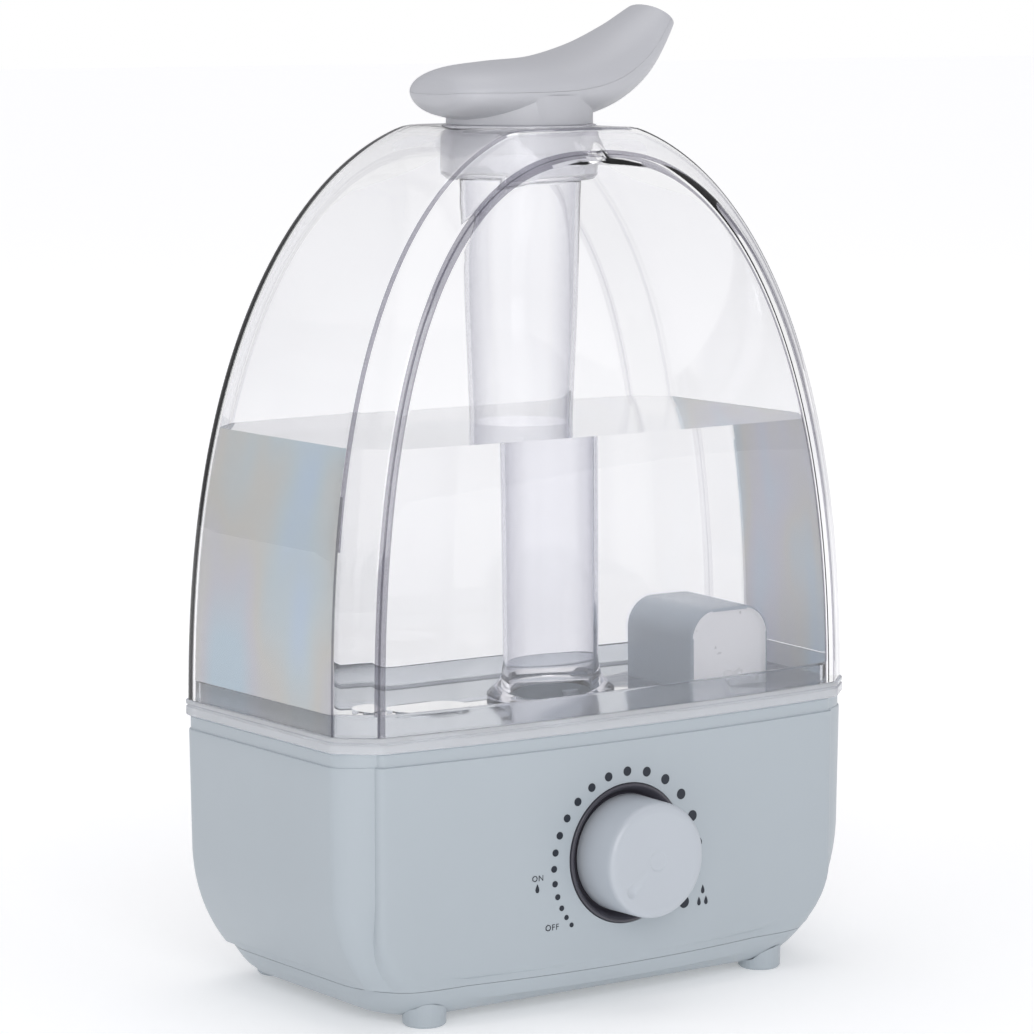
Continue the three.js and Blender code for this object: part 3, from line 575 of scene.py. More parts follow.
# ---- tank ----
def half_width(z, inset, width, arch):
    """Half the width of an arched face at a height."""
    share = min(1.0, max(0.0, (z - SEAM) / (arch["rise"] - inset)))
    return (width / 2 - inset) * (1 - share ** arch["tall"]) ** (1 / arch["wide"])


def arch_point(angle, inset, width, arch):
    x = (width / 2 - inset) * math.cos(angle) ** (2 / arch["wide"])
    z = SEAM + (arch["rise"] - inset) * math.sin(angle) ** (2 / arch["tall"])
    return x, z


def soft_top(z, limit, radius=1.5):
    """z, easing into a flat top at limit."""
    over = z - (limit - radius)
    return z if over <= 0 else limit - radius + radius * math.tanh(over / radius)


def plate_face(x, z, inset):
    """Distance of the front plate's surface from the middle of the tank."""
    widest = max(half_width(z, inset, PLATE_WIDTH, PLATE_ARCH), 1e-6)
    across = max(-1.0, min(1.0, x / widest))
    return PLATE_DEPTH / 2 - inset - lean(z) + bulge(across, z)


def tank_sheet(inset, bottom, steps=64, columns=40, edge=2.6):
    """The tank's outside at an inset, as (points, faces, rim), open along its bottom rim."""
    points, faces = [], []

    def point(x, y, z):
        points.append((x, y, z))
        return len(points) - 1

    def first_angle(arch):
        share = max(0.0, (bottom - SEAM) / (arch["rise"] - inset))
        return math.asin(share ** (arch["tall"] / 2))

    sections = []
    for i in range(steps + 1):
        t = i / steps
        plate_angle = mix(first_angle(PLATE_ARCH), math.pi / 2, t)
        band_angle = mix(first_angle(BAND_ARCH), math.pi / 2, t)
        px, pz = arch_point(plate_angle, inset, PLATE_WIDTH, PLATE_ARCH)
        bx, bz = arch_point(band_angle, inset, BAND_WIDTH, BAND_ARCH)
        bz = soft_top(bz, BAND_TOP - inset)
        ahead = arch_point(min(plate_angle + 1e-3, math.pi / 2), inset, PLATE_WIDTH, PLATE_ARCH)
        back = arch_point(max(plate_angle - 1e-3, 0), inset, PLATE_WIDTH, PLATE_ARCH)
        tangent = Vector((ahead[0] - back[0], ahead[1] - back[1])).normalized()
        inward = Vector((-tangent.y, tangent.x))
        if i == 0:
            inward = Vector((-1.0, 0.0))
        if i == steps:
            inward = Vector((0.0, -1.0))
            px = bx = 0.0
        inner = Vector((px, pz)) + inward * edge
        corner = Vector((px, plate_face(px, pz, inset), pz))
        band = Vector((bx, PLATE_DEPTH / 2 - inset - lean(bz) - STEP_DEPTH, bz))
        start = Vector((inner.x, plate_face(inner.x, inner.y, inset), inner.y))
        slope = (band - corner).normalized()
        section = curved(start, corner, corner + slope * edge)
        rise = (band - corner).length
        section += [corner + slope * rise * s for s in (0.4, 0.5, 0.6)]
        section += curved(band - slope * edge, band, band + Vector((0, -1, 0)) * edge)
        for s in (0.25, 0.5, 0.75, 1.0):
            section.append(Vector((bx, mix(band.y - edge, 0.0, s), bz)))
        sections.append(section)

    count = len(sections[0])
    full = []  # [arch place][profile place]
    for side in (-1, 1):
        order = range(steps + 1) if side < 0 else range(steps - 1, -1, -1)
        for i in order:
            half = sections[i]
            profile = [point(side * p.x, -p.y, p.z) for p in half]
            profile += [point(side * p.x, p.y, p.z) for p in reversed(half[:-1])]
            full.append(profile)
    length = len(full[0])
    for j in range(len(full) - 1):
        for k in range(length - 1):
            faces.append([full[j][k], full[j + 1][k], full[j + 1][k + 1], full[j][k + 1]])
    rims = []
    for end, turn in ((0, -1), (length - 1, 1)):
        rows = []
        for i in range(steps):
            left, right = full[i][end], full[len(full) - 1 - i][end]
            lx, _, lz = points[left]
            row = [left]
            for c in range(1, columns):
                x = mix(lx, -lx, c / columns)
                row.append(point(x, turn * plate_face(x, lz, inset), lz))
            row.append(right)
            rows.append(row)
        for low, high in zip(rows, rows[1:]):
            for c in range(columns):
                quad = [low[c], low[c + 1], high[c + 1], high[c]]
                faces.append(quad if turn < 0 else quad[::-1])
        apex = full[steps][end]
        for c in range(columns):
            tri = [rows[-1][c], rows[-1][c + 1], apex]
            faces.append(tri if turn < 0 else tri[::-1])
        rims.append(rows[0])
    rim = rims[0] + full[-1][1:] + rims[1][::-1][1:] + full[0][::-1][1:-1]
    return points, faces, rim


def tank_walls(outer_inset, inner_inset, bottom):
    """The tank's walls between two insets, closed along the bottom rim."""
    points, faces, rim = tank_sheet(outer_inset, bottom)
    inner_points, inner_faces, inner_rim = tank_sheet(inner_inset, bottom, edge=2.0)
    offset = len(points)
    faces = faces + [[i + offset for i in reversed(f)] for f in inner_faces]
    for n in range(len(rim)):
        a, b = rim[n - 1], rim[n]
        faces.append([a, b, inner_rim[n] + offset, inner_rim[n - 1] + offset])
    return outward(mesh_of(points + inner_points, faces))


shell = tank_walls(0.0, WALL, FLOOR["flange"] + GAP)
shell = cut(shell, disc(COLLAR["outer"] + GAP, 250, TALL))


def arch_edges(inset, with_band, steps=1600):
    """Points along the tank's edges: where plate meets strip and, if with_band, strip meets band."""
    for i in range(steps + 1):
        angle = mix(0.0, math.pi / 2, i / steps)
        x, z = arch_point(angle, inset, PLATE_WIDTH, PLATE_ARCH)
        places = [(x, plate_face(x, z, inset), z)]
        if with_band:
            x, z = arch_point(angle, inset, BAND_WIDTH, BAND_ARCH)
            z = soft_top(z, BAND_TOP - inset)
            places.append((x, PLATE_DEPTH / 2 - inset - lean(z) - STEP_DEPTH, z))
        for x, y, z in places:
            for side in (-1, 1):
                yield side * x, y, z
                yield side * x, -y, z


# Faces this close to the tank's arched edges get the painted edge shade.
EDGE_WIDTH = 1.1
EDGES = list(arch_edges(0.0, True)) + list(arch_edges(WALL, False))
edge_tree = KDTree(len(EDGES))
for index, place in enumerate(EDGES):
    edge_tree.insert(place, index)
edge_tree.balance()


def on_arch_edge(centre):
    """True on the rounds along the tank's edges, where the painted edge shade goes."""
    return edge_tree.find(centre)[2] < EDGE_WIDTH


piece(
    "tank_walls", shell, "tank", TANK, ["tank_shell"], sharp=50.0,
    special=[
        (TANK_SIDE_PAINTED_SHADE, lambda centre, normal: abs(normal.x) > 0.7),
        (PAINTED_EDGE_SHADE, lambda centre, normal: centre.y < 0 and on_arch_edge(centre)),
        (PAINTED_BACK_EDGE_SHADE, lambda centre, normal: centre.y > 0 and on_arch_edge(centre)),
    ],
)


def level_outline(z, inset, columns=40, edge=2.6):
    """The tank's outline at a height, anticlockwise seen from above."""
    px = half_width(z, inset, PLATE_WIDTH, PLATE_ARCH)
    bx = half_width(z, inset, BAND_WIDTH, BAND_ARCH)
    corner = Vector((px, plate_face(px, z, inset)))
    band = Vector((bx, PLATE_DEPTH / 2 - inset - lean(z) - STEP_DEPTH))
    slope = (band - corner).normalized()
    inner = Vector((px - edge, plate_face(px - edge, z, inset)))
    quarter = [Vector((x, plate_face(x, z, inset))) for x in np.linspace(0, px - edge, columns // 2)]
    for around, start, end in (
        (corner, inner, corner + slope * edge),
        (band, band - slope * edge, band + Vector((0, -edge))),
    ):
        quarter += curved(start, around, end)
    right_back = [(p.x, p.y) for p in quarter]
    back = right_back[::-1] + [(-x, y) for x, y in right_back[1:]]
    front = [(-x, -y) for x, y in back]
    return back + front


def stacked(levels, inset):
    """A solid through the tank's outlines at several heights; levels are (z, extra inset)."""
    return lofted([[(x, y, z) for x, y in level_outline(z, inset + extra)] for z, extra in levels])


def hump(inset, bottom, edge=0.0):
    """The recess for the air tower: an upright arch drawn out from front to back."""
    w, top = HUMP["width"] / 2 - inset, HUMP["top"] - inset
    r = HUMP["round"] - inset
    outline = [(-w, bottom), (w, bottom)]
    for cx, start in ((w - r, 0), (-w + r, 90)):
        for k in range(13):
            a = math.radians(start + 90 * k / 12)
            outline.append((cx + r * math.cos(a), top - r + r * math.sin(a)))
    half = HUMP["depth"] / 2 - inset
    stations = [(-half, edge), (half, edge)]
    if edge:
        front = [(-half + edge * (1 - math.cos(a)), edge * (1 - math.sin(a)))
                 for a in np.linspace(0, math.pi / 2, 6)]
        stations = front + [(-y, drawn) for y, drawn in front[::-1]]
    outlines = []
    for y, drawn in stations:
        row = []
        for x, z in outline:
            if drawn:
                x *= (w - drawn) / w
                z = bottom + (z - bottom) * (1 - drawn / (top - bottom))
            row.append((x + HUMP["x"], y, z))
        outlines.append(row)
    return lofted(outlines)


def tube_outside():
    """The mist tube's outline from its flared foot up, as (radius, z)."""
    z0, z1 = FLOOR["top"] + GAP, COLLAR["bottom"] - GAP
    foot, low, high = TUBE["foot"], TUBE["bottom"], TUBE["top"]
    return [
        (foot, z0), (foot, z0 + 2.2), (low + 3.4, z0 + 4.2), (low + 1.0, z0 + 7),
        (low, z0 + 12), (low + 0.4, 200), (high - 1, 240), (high, z1),
    ]


def tank_rim():
    """The rim that stands on the base, with a groove round it."""
    groove = list(zip(RIM_GROOVE, (0.0, 0.4, 0.4, 0.0)))
    low = [(SEAM + 0.1, 0.4), (SEAM + 0.5, 0.0)]
    high = [(FLOOR["flange"] - 0.1, 0.0), (FLOOR["flange"] + 0.2, 0.3)]
    return cut(
        stacked(low + groove + high, -0.6),
        stacked([(SEAM - 3, 0.0), (FLOOR["flange"] + 4, 0.0)], WALL + 0.3),
    )


def tank_floor():
    """The tank's floor with the filler neck, open under the air tower and under the mist tube."""
    plate = stacked([(FLOOR["under"], 0.0), (FLOOR["top"], 0.0)], WALL - 0.4)
    # An upstand inside the wall, where floor and wall are glued.
    u = UPSTAND
    upstand = cut(
        stacked([(FLOOR["under"], 0.0), (u["shoulder"], 0.0), (u["top"], 0.5)], u["outside"]),
        stacked([(FLOOR["top"] - 0.5, 0.0), (111, 0.0)], u["inside"]),
    )
    neck = disc(FILLER["outer"], FILLER["bottom"], FLOOR["under"] + 1, CAP_X, 0)
    return cut(
        joined(plate, upstand, neck),
        hump(0.2, 80),
        disc(FILLER["inner"], 0, ABOVE_FLOOR, CAP_X, 0),
        disc(TUBE["bottom"] - TUBE["wall"], 0, ABOVE_FLOOR),
    )


piece("tank_rim", tank_rim(), "tank", RIM, ["tank_floor"], sharp=30.0)
piece(
    "tank_floor_plate", tank_floor(), "tank", FLOOR_PLASTIC,
    ["tank_floor", "filler_neck"], sharp=40.0,
)
recess = cut(hump(0.3, FLOOR["under"] + 0.2, 1.6), hump(WALL, 0))
piece(
    "tower_recess_hood", recess, "tank", HOOD_SIDE_PAINTED_SHADE,
    ["tower_recess"], sharp=40.0,
    special=[(HOOD_FRONT, lambda centre, normal: abs(normal.y) > 0.9)],
)

outside = tube_outside()
bore_low, bore_high = TUBE["bottom"] - TUBE["wall"], TUBE["top"] - TUBE["wall"]
inside = [
    (bore_high, COLLAR["bottom"] - GAP), (bore_high - 1, 240),
    (bore_low + 0.4, 200), (bore_low, FLOOR["top"] + GAP),
]
piece("mist_pipe", lathe(outside + inside, 0.8), "tank", PIPE, ["mist_tube"], sharp=60.0)

c = COLLAR
collar = lathe([
    (bore_high, c["bottom"]), (c["outer"] - 1.5, c["bottom"]), (c["outer"], c["bottom"] + 1.5),
    (c["outer"], BAND_TOP + 0.4), (c["inner"], BAND_TOP + 0.4), (c["inner"], c["bottom"] + 2),
    (bore_high, c["bottom"] + 2),
], 0.5)
piece("collar_cup", collar, "tank", CUP, ["tank_collar"], sharp=60.0)

# The water stands clear of the walls by less than is seen, and is cut round what stands in it.
CLEAR = 0.08
UNDER_WATER = 90.0  # past the water's lowest point
WATER_SIDE_X = 85.0  # the water's side faces are further out than this
levels = [(z, 0.0) for z in np.linspace(FLOOR["top"] + CLEAR, WATER_LEVEL, 25)]
water = cut(
    stacked(levels, WALL + CLEAR),
    stacked([(FLOOR["top"] - 1, 0.0), (UPSTAND["top"] + CLEAR, 0.0)], -2.0),
)
within_upstand = stacked(
    [(FLOOR["top"] + CLEAR, 0.0), (UPSTAND["top"] + 2 * CLEAR, 0.0)], UPSTAND["inside"] + CLEAR
)
tube_hole = [(TUBE["foot"], UNDER_WATER)] + outside[1:]
tube_hole = [(0, UNDER_WATER)] + [(r + CLEAR, z) for r, z in tube_hole] + [(0, COLLAR["bottom"])]
water = cut(
    joined(water, within_upstand),
    turned(tube_hole), hump(-CLEAR, UNDER_WATER),
    disc(FILLER["inner"] + CLEAR, UNDER_WATER, FLOOR["top"] + 1, CAP_X, 0),
)


def against_inner_part(centre, normal):
    """True on the water's faces round the mist tube and over the tower recess."""
    x, y, _ = centre
    by_tube = math.hypot(x, y) < TUBE["foot"] + 1
    by_recess = abs(x - HUMP["x"]) < HUMP["width"] / 2 + 1 and abs(y) < HUMP["depth"] / 2 + 1
    return (by_tube or by_recess) and centre.z < WATER_LEVEL - 1


# The water's side faces take the painted shade copies.
piece(
    "water_body", water, "tank", WATER, sharp=40.0,
    special=[
        (WATER_SIDE_PAINTED_SHADE, lambda centre, normal: normal.x < -0.9 and centre.x < -WATER_SIDE_X),
        (WATER_FAR_SIDE_PAINTED_SHADE, lambda centre, normal: normal.x > 0.9 and centre.x > WATER_SIDE_X),
        (WATER_TOP, lambda centre, normal: normal.z > 0.9 and centre.z > WATER_LEVEL - 1),
        (WATER_INSIDE, against_inner_part),
    ],
)


# ---- base ----
def body_form(inset=0.0, top=SEAM - 0.1, columns=40):
    """The middle of the base, from plate to plate, with its rounded lower corners."""
    turns = 14
    heights = [0.0] * (turns + 1) + [58.0, 70.0, 82.0]
    if inset <= 0:
        ledge = SEAM - LEDGE_HEIGHT
        heights += [ledge - 0.6, ledge - 0.15, ledge, ledge + 0.3, ledge + 0.5, top - 0.5]
    heights.append(top)
    depths = [0, 0.25, 0.6, 1, 1.6, 2.4, 3.4, 5, 7, 10, 14, 20, CORNER_DEPTH]
    if inset > 0:
        depths = [0, 3, 6, 10, 14, 20, CORNER_DEPTH]
    stations = depths + depths[::-1]
    half = PLATE_WIDTH / 2 - inset

    def shape(across, along, up):
        d = stations[along]
        front = -1 if along < len(depths) else 1
        corner = mix(PLATE_CORNER, SIDE_CORNER, smooth(d / CORNER_DEPTH)) - inset
        a = min(up, turns) / turns * math.pi / 2
        z = heights[up] or BODY_BOTTOM + inset + corner * (1 - math.cos(a))
        under = rounding(UNDER_ROUND, d) * max(0.0, 1 - (z - BODY_BOTTOM) / PLATE_CORNER)
        draft = 0.6 * max(0.0, (SEAM - z) / SEAM)
        side = corner * (1 - math.sin(a)) + draft + rounding(EDGE_ROUND, d)
        step = 0.0
        if inset <= 0 and z > SEAM - LEDGE_HEIGHT - 0.05:
            step = LEDGE_INSET * min(1.0, (z - (SEAM - LEDGE_HEIGHT)) / 0.3)
            step += 0.3 if up == len(heights) - 1 else 0.0
        step = max(0.0, step)
        proud = bulge(across, 0) if d < BULGE_REACH else 0.0
        return (
            across * (half - side - step),
            front * (PLATE_DEPTH / 2 - inset - step - d + proud),
            z + under,
        )

    return moulded(columns, len(stations) - 1, len(heights) - 1, shape)


def pod_form(inset=0.0, top=SEAM - 0.1):
    """The side pods, as one block from side to side."""
    half, corner = BAND_WIDTH / 2 - inset, POD_CORNER - inset
    centre = half - 0.8 - corner
    lowest = math.asin((POD_STRAIGHT - POD_BOTTOM - inset) / corner)
    rows = []
    for i in range(15):
        a = lowest * (1 - i / 14)
        rows.append((centre + corner * math.cos(a), POD_STRAIGHT - corner * math.sin(a)))
    ledge = SEAM - LEDGE_HEIGHT
    rows += [(mix(half - 0.8, half, (z - POD_STRAIGHT) / (ledge - POD_STRAIGHT)), z) for z in (62, 74, 84)]
    if inset == 0:
        drawn = half - LEDGE_INSET
        rows += [(half, ledge - 0.5), (half - 0.1, ledge), (drawn, ledge + 0.3), (drawn, top - 0.5)]
        rows.append((drawn - 0.3, top))
    else:
        rows.append((half, top))
    depths = [2, 3.2, 4.6, 6, 7.6, 9.2, STEP_DEPTH, STEP_DEPTH + 1.4, STEP_DEPTH + 3]
    outs = [-13.5, -11.2, -8.6, -6.2, -3.9, -2.1, -0.8, -0.2, 0.0]
    stations, sides = depths + depths[::-1], outs + outs[::-1]

    def shape(across, along, up):
        front = -1 if along < len(depths) else 1
        return (
            across * (rows[up][0] + sides[along]),
            front * (PLATE_DEPTH / 2 - inset - stations[along]),
            rows[up][1],
        )

    return moulded(2, len(stations) - 1, len(rows) - 1, shape)


def basin(extra, low, high):
    """The basin's outline, drawn upright and larger by extra all round."""
    b = BASIN
    return prism(
        rounded_outline(
            b["x0"] - extra, b["x1"] + extra, -b["y"] - extra, b["y"] + extra, b["round"] + extra
        ),
        low, high,
    )


def base_housing():
    """The body under its deck, with holes for the basin, tower, dial and cord."""
    wall = HOUSING_WALL
    shell = cut(
        joined(body_form(), pod_form()),
        body_form(wall, DECK - wall, 12), pod_form(wall, DECK - wall), below(PARTING),
    )
    rim = joined(body_form(wall, TALL, 12), pod_form(wall, TALL))
    shell = cut(shell, cut(rim, below(DECK)))
    shell = joined(shell, on_face(disc(RECESS["radius"] + 2.4, 1.5, RECESS["depth"] + RECESS["floor"])))
    t, g = TOWER, GAP
    tower = rounded_outline(
        t["x"] - t["width"] / 2 - g, t["x"] + t["width"] / 2 + g,
        -t["depth"] / 2 - g, t["depth"] / 2 + g, 4 + g,
    )
    return cut(
        shell,
        basin(g, 0, TALL),
        on_face(disc(RECESS["radius"], -6, RECESS["depth"])),
        on_face(disc(4.6, 0, 12)),
        prism(tower, 80, TALL),
        on_face(disc(GLAND["radius"] + GAP, 0, 20), GLAND["x"], 50, GLAND["z"]),
    )


def bottom_cover():
    """The pan under the body, with bosses, posts and the fan's hole."""
    pan = cut(body_form(), body_form(HOUSING_WALL, DECK, 12), above(PARTING - 0.15))
    bosses = [disc(SCREW["boss"], BODY_BOTTOM + 0.2, SCREW["boss_top"], x, y, 24) for x, y in PILLARS]
    posts = [disc(2.4, BODY_BOTTOM + 1, 16.7, x, y, 24) for x in (-56, 12) for y in (-19, 19)]
    g = GRILLE
    return cut(
        joined(pan, *bosses, *posts),
        *[disc(SCREW["hole"], 0, TALL, x, y, 24) for x, y in PILLARS],
        *[disc(SCREW["head"], 0, BODY_BOTTOM + 4, x, y, 24) for x, y in PILLARS],
        box(g["x"] - g["half"], g["x"] + g["half"] - g["short"], -g["half"], g["half"], 0, g["top"]),
    )


piece("housing", base_housing(), "base", SHELL, ["base_housing"], sharp=28.0)
piece("underside", bottom_cover(), "base", SHELL, ["bottom_cover"], sharp=28.0)


# ---- dial ----
def front_depth(x):
    """How far the front plate stands proud of its edges at a place across it."""
    return bulge(x / (PLATE_WIDTH / 2), 0)


r = KNOB["groove"]
back = RECESS["depth"] - GAP
bezel = lathe([
    (5.2, back - 1.2), (5.2, back), (r, back), (r, -0.5),
    (r - 0.9, -0.6), (r - 1.6, 0.1), (20.9, back - 1.2),
], 0.35, steps=3)
piece("dial_ring", on_face(bezel), "base", DARK, ["dial_bezel"], sharp=35.0)

r, front, knob_back = KNOB["radius"], -KNOB["out"], 2.2
knob = lathe([
    (0, front + 0.25), (3.2, front + 0.25), (3.7, front + 0.05), (r - 3.2, front),
    (r - 1.5, front + 0.25), (r - 0.4, front + 1.0), (r - 0.05, front + 2.4), (r + 0.3, knob_back),
    (r - 1.9, knob_back), (r - 2.1, front + 3.2), (6, front + 3.2), (6, knob_back),
    (3.3, knob_back), (3.3, front + 4.8), (0, front + 4.8),
], 0.5, sides=144)
# A shallow dimple near the knob's edge shows where it points.
DIMPLE = dict(ball=4.0, from_edge=5.5, ahead=3.35)
bm = bmesh.new()
bmesh.ops.create_uvsphere(bm, u_segments=48, v_segments=32, radius=DIMPLE["ball"])
dimple = bpy.data.meshes.new("shape")
bm.to_mesh(dimple)
bm.free()
a = math.radians(DIAL_OFF)
reach = r - DIMPLE["from_edge"]
dimple.transform(
    Matrix.Translation((math.cos(a) * reach, -math.sin(a) * reach, front - DIMPLE["ahead"]))
)
piece("knob", on_face(cut(knob, dimple)), "dial", PALE, ["control_knob"], sharp=35.0)


def flat_shape(outline, sink=0.05, proud=0.07):
    """A printed mark: an outline of (x, z) points lying on the curved front plate."""
    points = []
    for out in (proud, -sink):
        points += [(x, -(PLATE_DEPTH / 2 + front_depth(x) + out), z) for x, z in outline]
    return points, loft_faces(len(outline), 2)


def drop(x, z, size):
    """A water drop, round below and pointed above."""
    outline = []
    for k in range(24):
        a = 2 * math.pi * k / 24
        tall = math.cos(a)
        wide = math.sin(a) * math.sin(a / 2) ** 1.2
        outline.append((x + 0.33 * size * wide, z + 0.5 * size * tall))
    return outline


def lettering(text, x, z, size):
    """A word in Blender's own plain font, lying on the front plate."""
    curve = bpy.data.curves.new("letters", "FONT")
    curve.body, curve.size, curve.extrude = text, size, 0.05
    curve.align_x, curve.align_y = "CENTER", "CENTER"
    curve.space_character = 1.15
    holder = bpy.data.objects.new("letters", curve)
    scene.collection.objects.link(holder)
    mesh = bpy.data.meshes.new_from_object(
        holder.evaluated_get(bpy.context.evaluated_depsgraph_get())
    )
    bpy.data.objects.remove(holder)
    out = FRONT + BULGE - front_depth(x) - 0.02
    return moved(mesh, Matrix.Translation((x, out, z)) @ Matrix.Rotation(math.pi / 2, 4, "X"))


marks_points, marks_faces = [], []


def mark(outline):
    points, faces = flat_shape(outline)
    offset = len(marks_points)
    marks_points.extend(points)
    marks_faces.extend([[i + offset for i in f] for f in faces])


DOTS = 20
FIRST_STEP, STEP_GROWTH = 6.59, 0.765  # degrees from one dot to the next, and how much more each time
SMALLEST_DOT, DOT_GROWTH = 0.85, 1.3
SCALE_RADIUS, SCALE_Z = 31.1, 50.6
DROP_SIZE = 3.1
DROPS = ((-36.5, 45.0), (35.1, 35.8), (33.4, 31.7), (36.6, 31.7))  # one by ON, three at the full end
angle = DIAL_OFF
for i in range(DOTS):
    size = SMALLEST_DOT + DOT_GROWTH * i / (DOTS - 1)
    a = math.radians(angle)
    cx, cz = KNOB["x"] + SCALE_RADIUS * math.cos(a), SCALE_Z + SCALE_RADIUS * math.sin(a)
    around = np.linspace(0, 2 * math.pi, 28, False)
    mark([(cx + size * math.cos(b), cz + size * math.sin(b)) for b in around])
    angle -= FIRST_STEP + STEP_GROWTH * i
for x, z in DROPS:
    mark(drop(x, z, DROP_SIZE))
marks = outward(mesh_of(marks_points, marks_faces))
piece("dial_scale", marks, "base", PRINT, sharp=40.0)
piece("dial_word_on", lettering("ON", -36.3, 48.4, 2.9), "base", PRINT)
piece("dial_word_off", lettering("OFF", -30.4, 30.6, 3.0), "base", PRINT)

# ---- nozzle: its crest and its underside seen from the side, and half its breadth along it ----
UPPER = [
    (-37.4, 314.2), (-36, 319.6), (-28, 323), (-12, 324.8),
    (8, 326.4), (26, 331), (41, 337.6), (52.5, 344),
]
LOWER = [
    (-37.4, 312.8), (-35.8, 308.6), (-30.6, 305.4), (-14, 303.6),
    (12, 303.6), (32, 307.4), (49, 317.6), (62, 335),
]
BREADTH = [
    (0, 2.4), (0.05, 10.6), (0.2, 18), (0.35, 23.4), (0.5, 25.2), (0.65, 24.4), (0.82, 19), (1, 12.5),
]
NOZZLE_WALL = 1.8
NOZZLE_HALF_GAP = 0.04  # half the gap between the nozzle's two halves
NOZZLE_REACH = 60.0  # past the nozzle's sides, for the shapes that cut it


def spline(points, t):
    """A smooth curve through the points, t from 0 to 1."""
    place = min(max(t, 0.0), 1.0) * (len(points) - 1)
    i = min(int(place), len(points) - 2)
    w = place - i
    ends = [points[max(i - 1, 0)], points[i], points[i + 1], points[min(i + 2, len(points) - 1)]]
    result = []
    for a, b, c, d in zip(*ends):
        v0, v1 = (c - a) / 2, (d - b) / 2
        cubic, square = 2 * b - 2 * c + v0 + v1, -3 * b + 3 * c - 2 * v0 - v1
        result.append(cubic * w**3 + square * w * w + v0 * w + b)
    return result


def breadth(t):
    along, half = zip(*[spline(BREADTH, k / 60) for k in range(61)])
    return float(np.interp(t, along, half))


def nozzle_form(inset, start, end, steps=64, sides=64):
    rings = []
    for k in range(steps + 1):
        t = mix(start, end, (k / steps) ** 1.15)
        high, low = Vector(spline(UPPER, min(t, 1))), Vector(spline(LOWER, min(t, 1)))
        centre, axis = (high + low) / 2, high - low
        tall = axis.length / 2 - inset
        axis.normalize()
        if t > 1:
            centre += Vector((axis.y, -axis.x)) * (t - 1) * NOZZLE_REACH
        wide = breadth(min(t, 1)) - inset
        row = []
        for i in range(sides):
            a = 2 * math.pi * i / sides
            # A little fuller than an ellipse near the crest, with a soft crease at its widest line.
            s = math.copysign(abs(math.sin(a)) ** 0.98, math.sin(a)) * tall
            row.append((centre.x + axis.x * s, math.cos(a) * wide, centre.y + axis.y * s))
        rings.append(row)
    return lofted(rings)


def nozzle_half(upper):
    """The hollow nozzle with its neck, cut along its widest line; upper says which half is kept."""
    n = NECK
    neck = joined(disc(n["outer"], n["bottom"], n["top"]), disc(n["lip"], n["lip_low"], n["lip_high"]))
    body = cut(
        joined(nozzle_form(0, 0, 1), neck),
        nozzle_form(NOZZLE_WALL, 0.1, 1.05), disc(n["inner"], 0, n["top"]),
    )
    line = []
    for k in range(41):
        high, low = spline(UPPER, k / 40), spline(LOWER, k / 40)
        line.append([(high[0] + low[0]) / 2, (high[1] + low[1]) / 2])
    line[0][0] -= 5
    line[-1][0] += 5
    line[-1][1] += 3
    far, near = (-TALL, NOZZLE_HALF_GAP) if upper else (TALL, -NOZZLE_HALF_GAP)

    def shape(across, along, up):
        x, z = line[along]
        return x, across * NOZZLE_REACH, z + (near if up == upper else far)

    return cut(body, moulded(1, 40, 1, shape))


piece("nozzle_underside", nozzle_half(False), "nozzle", NOZZLE, ["nozzle_body"], sharp=40.0)
piece("nozzle_hood", nozzle_half(True), "nozzle", NOZZLE, ["nozzle_cover"], sharp=40.0)
b = COLLAR["bottom"]
seat = lathe([(20.2, b + 2.3), (25, b + 2.3), (25, 292), (23.8, 292), (23.8, 287.4), (20.2, 287.4)], 0.4)
piece("nozzle_seat_ring", seat, "nozzle_seat", NOZZLE, ["nozzle_ring"], sharp=35.0)

# ---- valve spring ----
def valve_spring():
    """The compression spring between the plunger's foot and the cap."""
    low, high = SPRING["low"] + SPRING["wire"], SPRING["high"] - SPRING["wire"]
    steps, sides, rings = SPRING["turns"] * 28, 10, []
    for k in range(steps + 1):
        a = 2 * math.pi * SPRING["turns"] * k / steps
        out = Vector((math.cos(a), math.sin(a), 0))
        middle = out * SPRING["radius"] + Vector((CAP_X, 0, mix(low, high, k / steps)))
        row = []
        for i in range(sides):
            b = 2 * math.pi * i / sides
            up = Vector((0, 0, SPRING["wire"] * math.sin(b)))
            row.append(middle + out * SPRING["wire"] * math.cos(b) + up)
        rings.append(row)
    return lofted(rings)


spring = piece("coil_spring", valve_spring(), "cap", STEEL, ["valve_spring"], sharp=60.0)
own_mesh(spring)

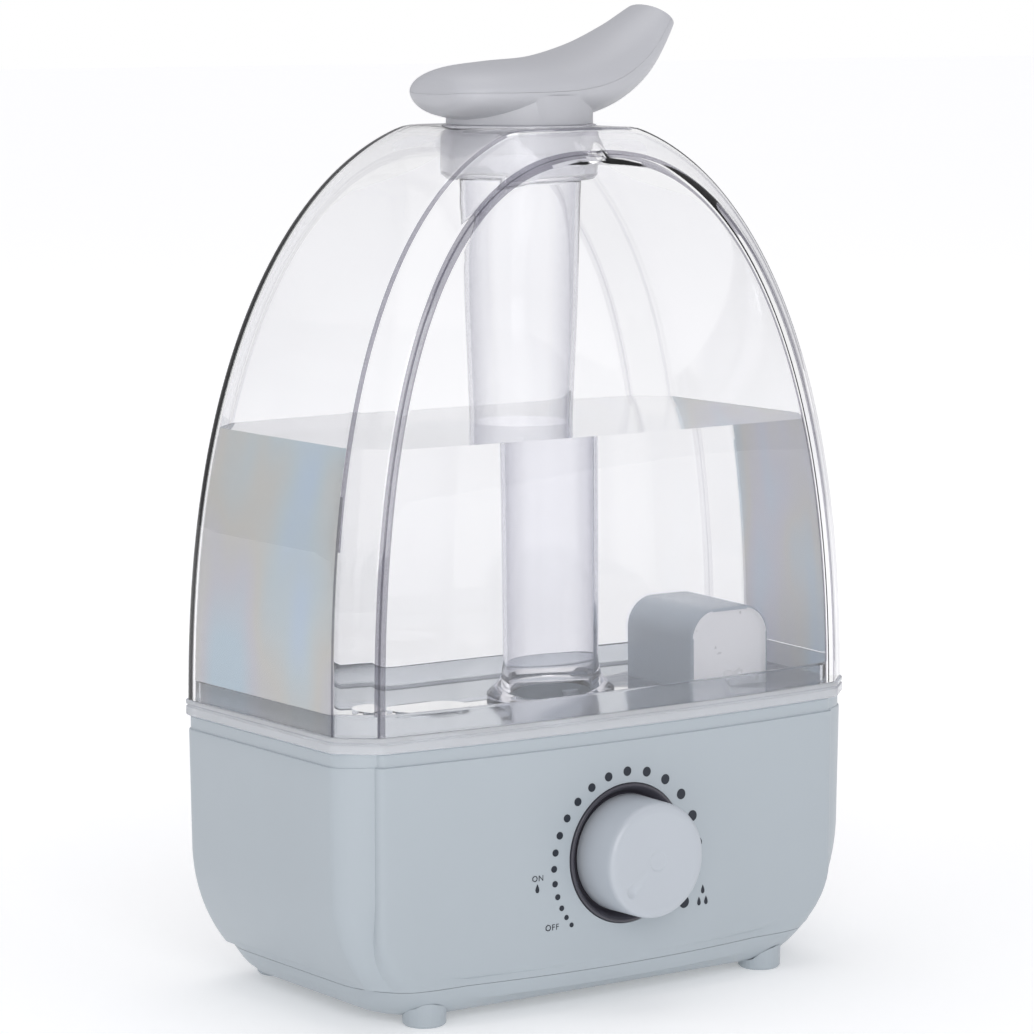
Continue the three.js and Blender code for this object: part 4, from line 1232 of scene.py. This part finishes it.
# ---- studio ----
def plain(name, colour, roughness):
    material, tree, surface, _ = shader(name)
    tree.links.new(ramp(tree, noise(tree, 2.0), shades(colour, 0.003)), surface.inputs["Base Color"])
    surface.inputs["Roughness"].default_value = roughness
    # White studio paper: its own light grows away from the object, so no horizon shows.
    place = tree.nodes.new("ShaderNodeTexCoord")
    away = tree.nodes.new("ShaderNodeVectorMath")
    away.operation = "LENGTH"
    tree.links.new(place.outputs["Object"], away.inputs[0])
    surface.inputs["Emission Color"].default_value = (1, 1, 1, 1)
    light = spread(tree, away.outputs["Value"], 0.2, 0.5)
    tree.links.new(light, surface.inputs["Emission Strength"])
    return material


floor_mesh = bpy.data.meshes.new("floor")
FLOOR_HALF = 14.0
corners = ((-1, -1), (1, -1), (1, 1), (-1, 1))
floor_mesh.from_pydata([(FLOOR_HALF * x, FLOOR_HALF * y, 0) for x, y in corners], [], [[0, 1, 2, 3]])
floor_mesh.materials.append(plain("studio_floor", (0.93, 0.93, 0.93), 0.9))
floor = bpy.data.objects.new("floor", floor_mesh)
scene.collection.objects.link(floor)

world = bpy.data.worlds.new("studio")
scene.world = world
world.use_nodes = True
sky_tree = world.node_tree
sky = sky_tree.nodes["Background"]
# White behind the object, also through its clear parts; a greyer room lights the rest of it.
path = sky_tree.nodes.new("ShaderNodeLightPath")
seen = sky_tree.nodes.new("ShaderNodeMath")
seen.operation = "MAXIMUM"
sky_tree.links.new(path.outputs["Is Camera Ray"], seen.inputs[0])
sky_tree.links.new(path.outputs["Is Transmission Ray"], seen.inputs[1])
sky_tree.links.new(
    ramp(sky_tree, seen.outputs[0], [(0.0, (0.52, 0.52, 0.54)), (1.0, (1.0, 1.0, 1.0))]),
    sky.inputs["Color"],
)
sky.inputs["Strength"].default_value = 1.0


def lamp(name, at, aim, size, power):
    data = bpy.data.lights.new(name, "AREA")
    data.shape, data.size, data.size_y, data.energy = "RECTANGLE", size[0], size[1], power
    o = bpy.data.objects.new(name, data)
    o.location = at
    o.rotation_euler = (Vector(aim) - Vector(at)).to_track_quat("-Z", "Y").to_euler()
    scene.collection.objects.link(o)


lamp("key", (-0.6, -1.15, 0.55), (0, 0, 0.12), (0.7, 0.7), 5.6)
lamp("top", (0.1, 0.3, 2.2), (0, 0, 0.2), (1.6, 1.6), 10.5)
lamp("fill", (-2.0, -0.4, 0.9), (0, 0, 0.15), (1.2, 1.2), 1.5)
scene.view_settings.view_transform = "Standard"
scene.cycles.max_bounces = 32
scene.cycles.transmission_bounces = 32
scene.cycles.transparent_max_bounces = 32
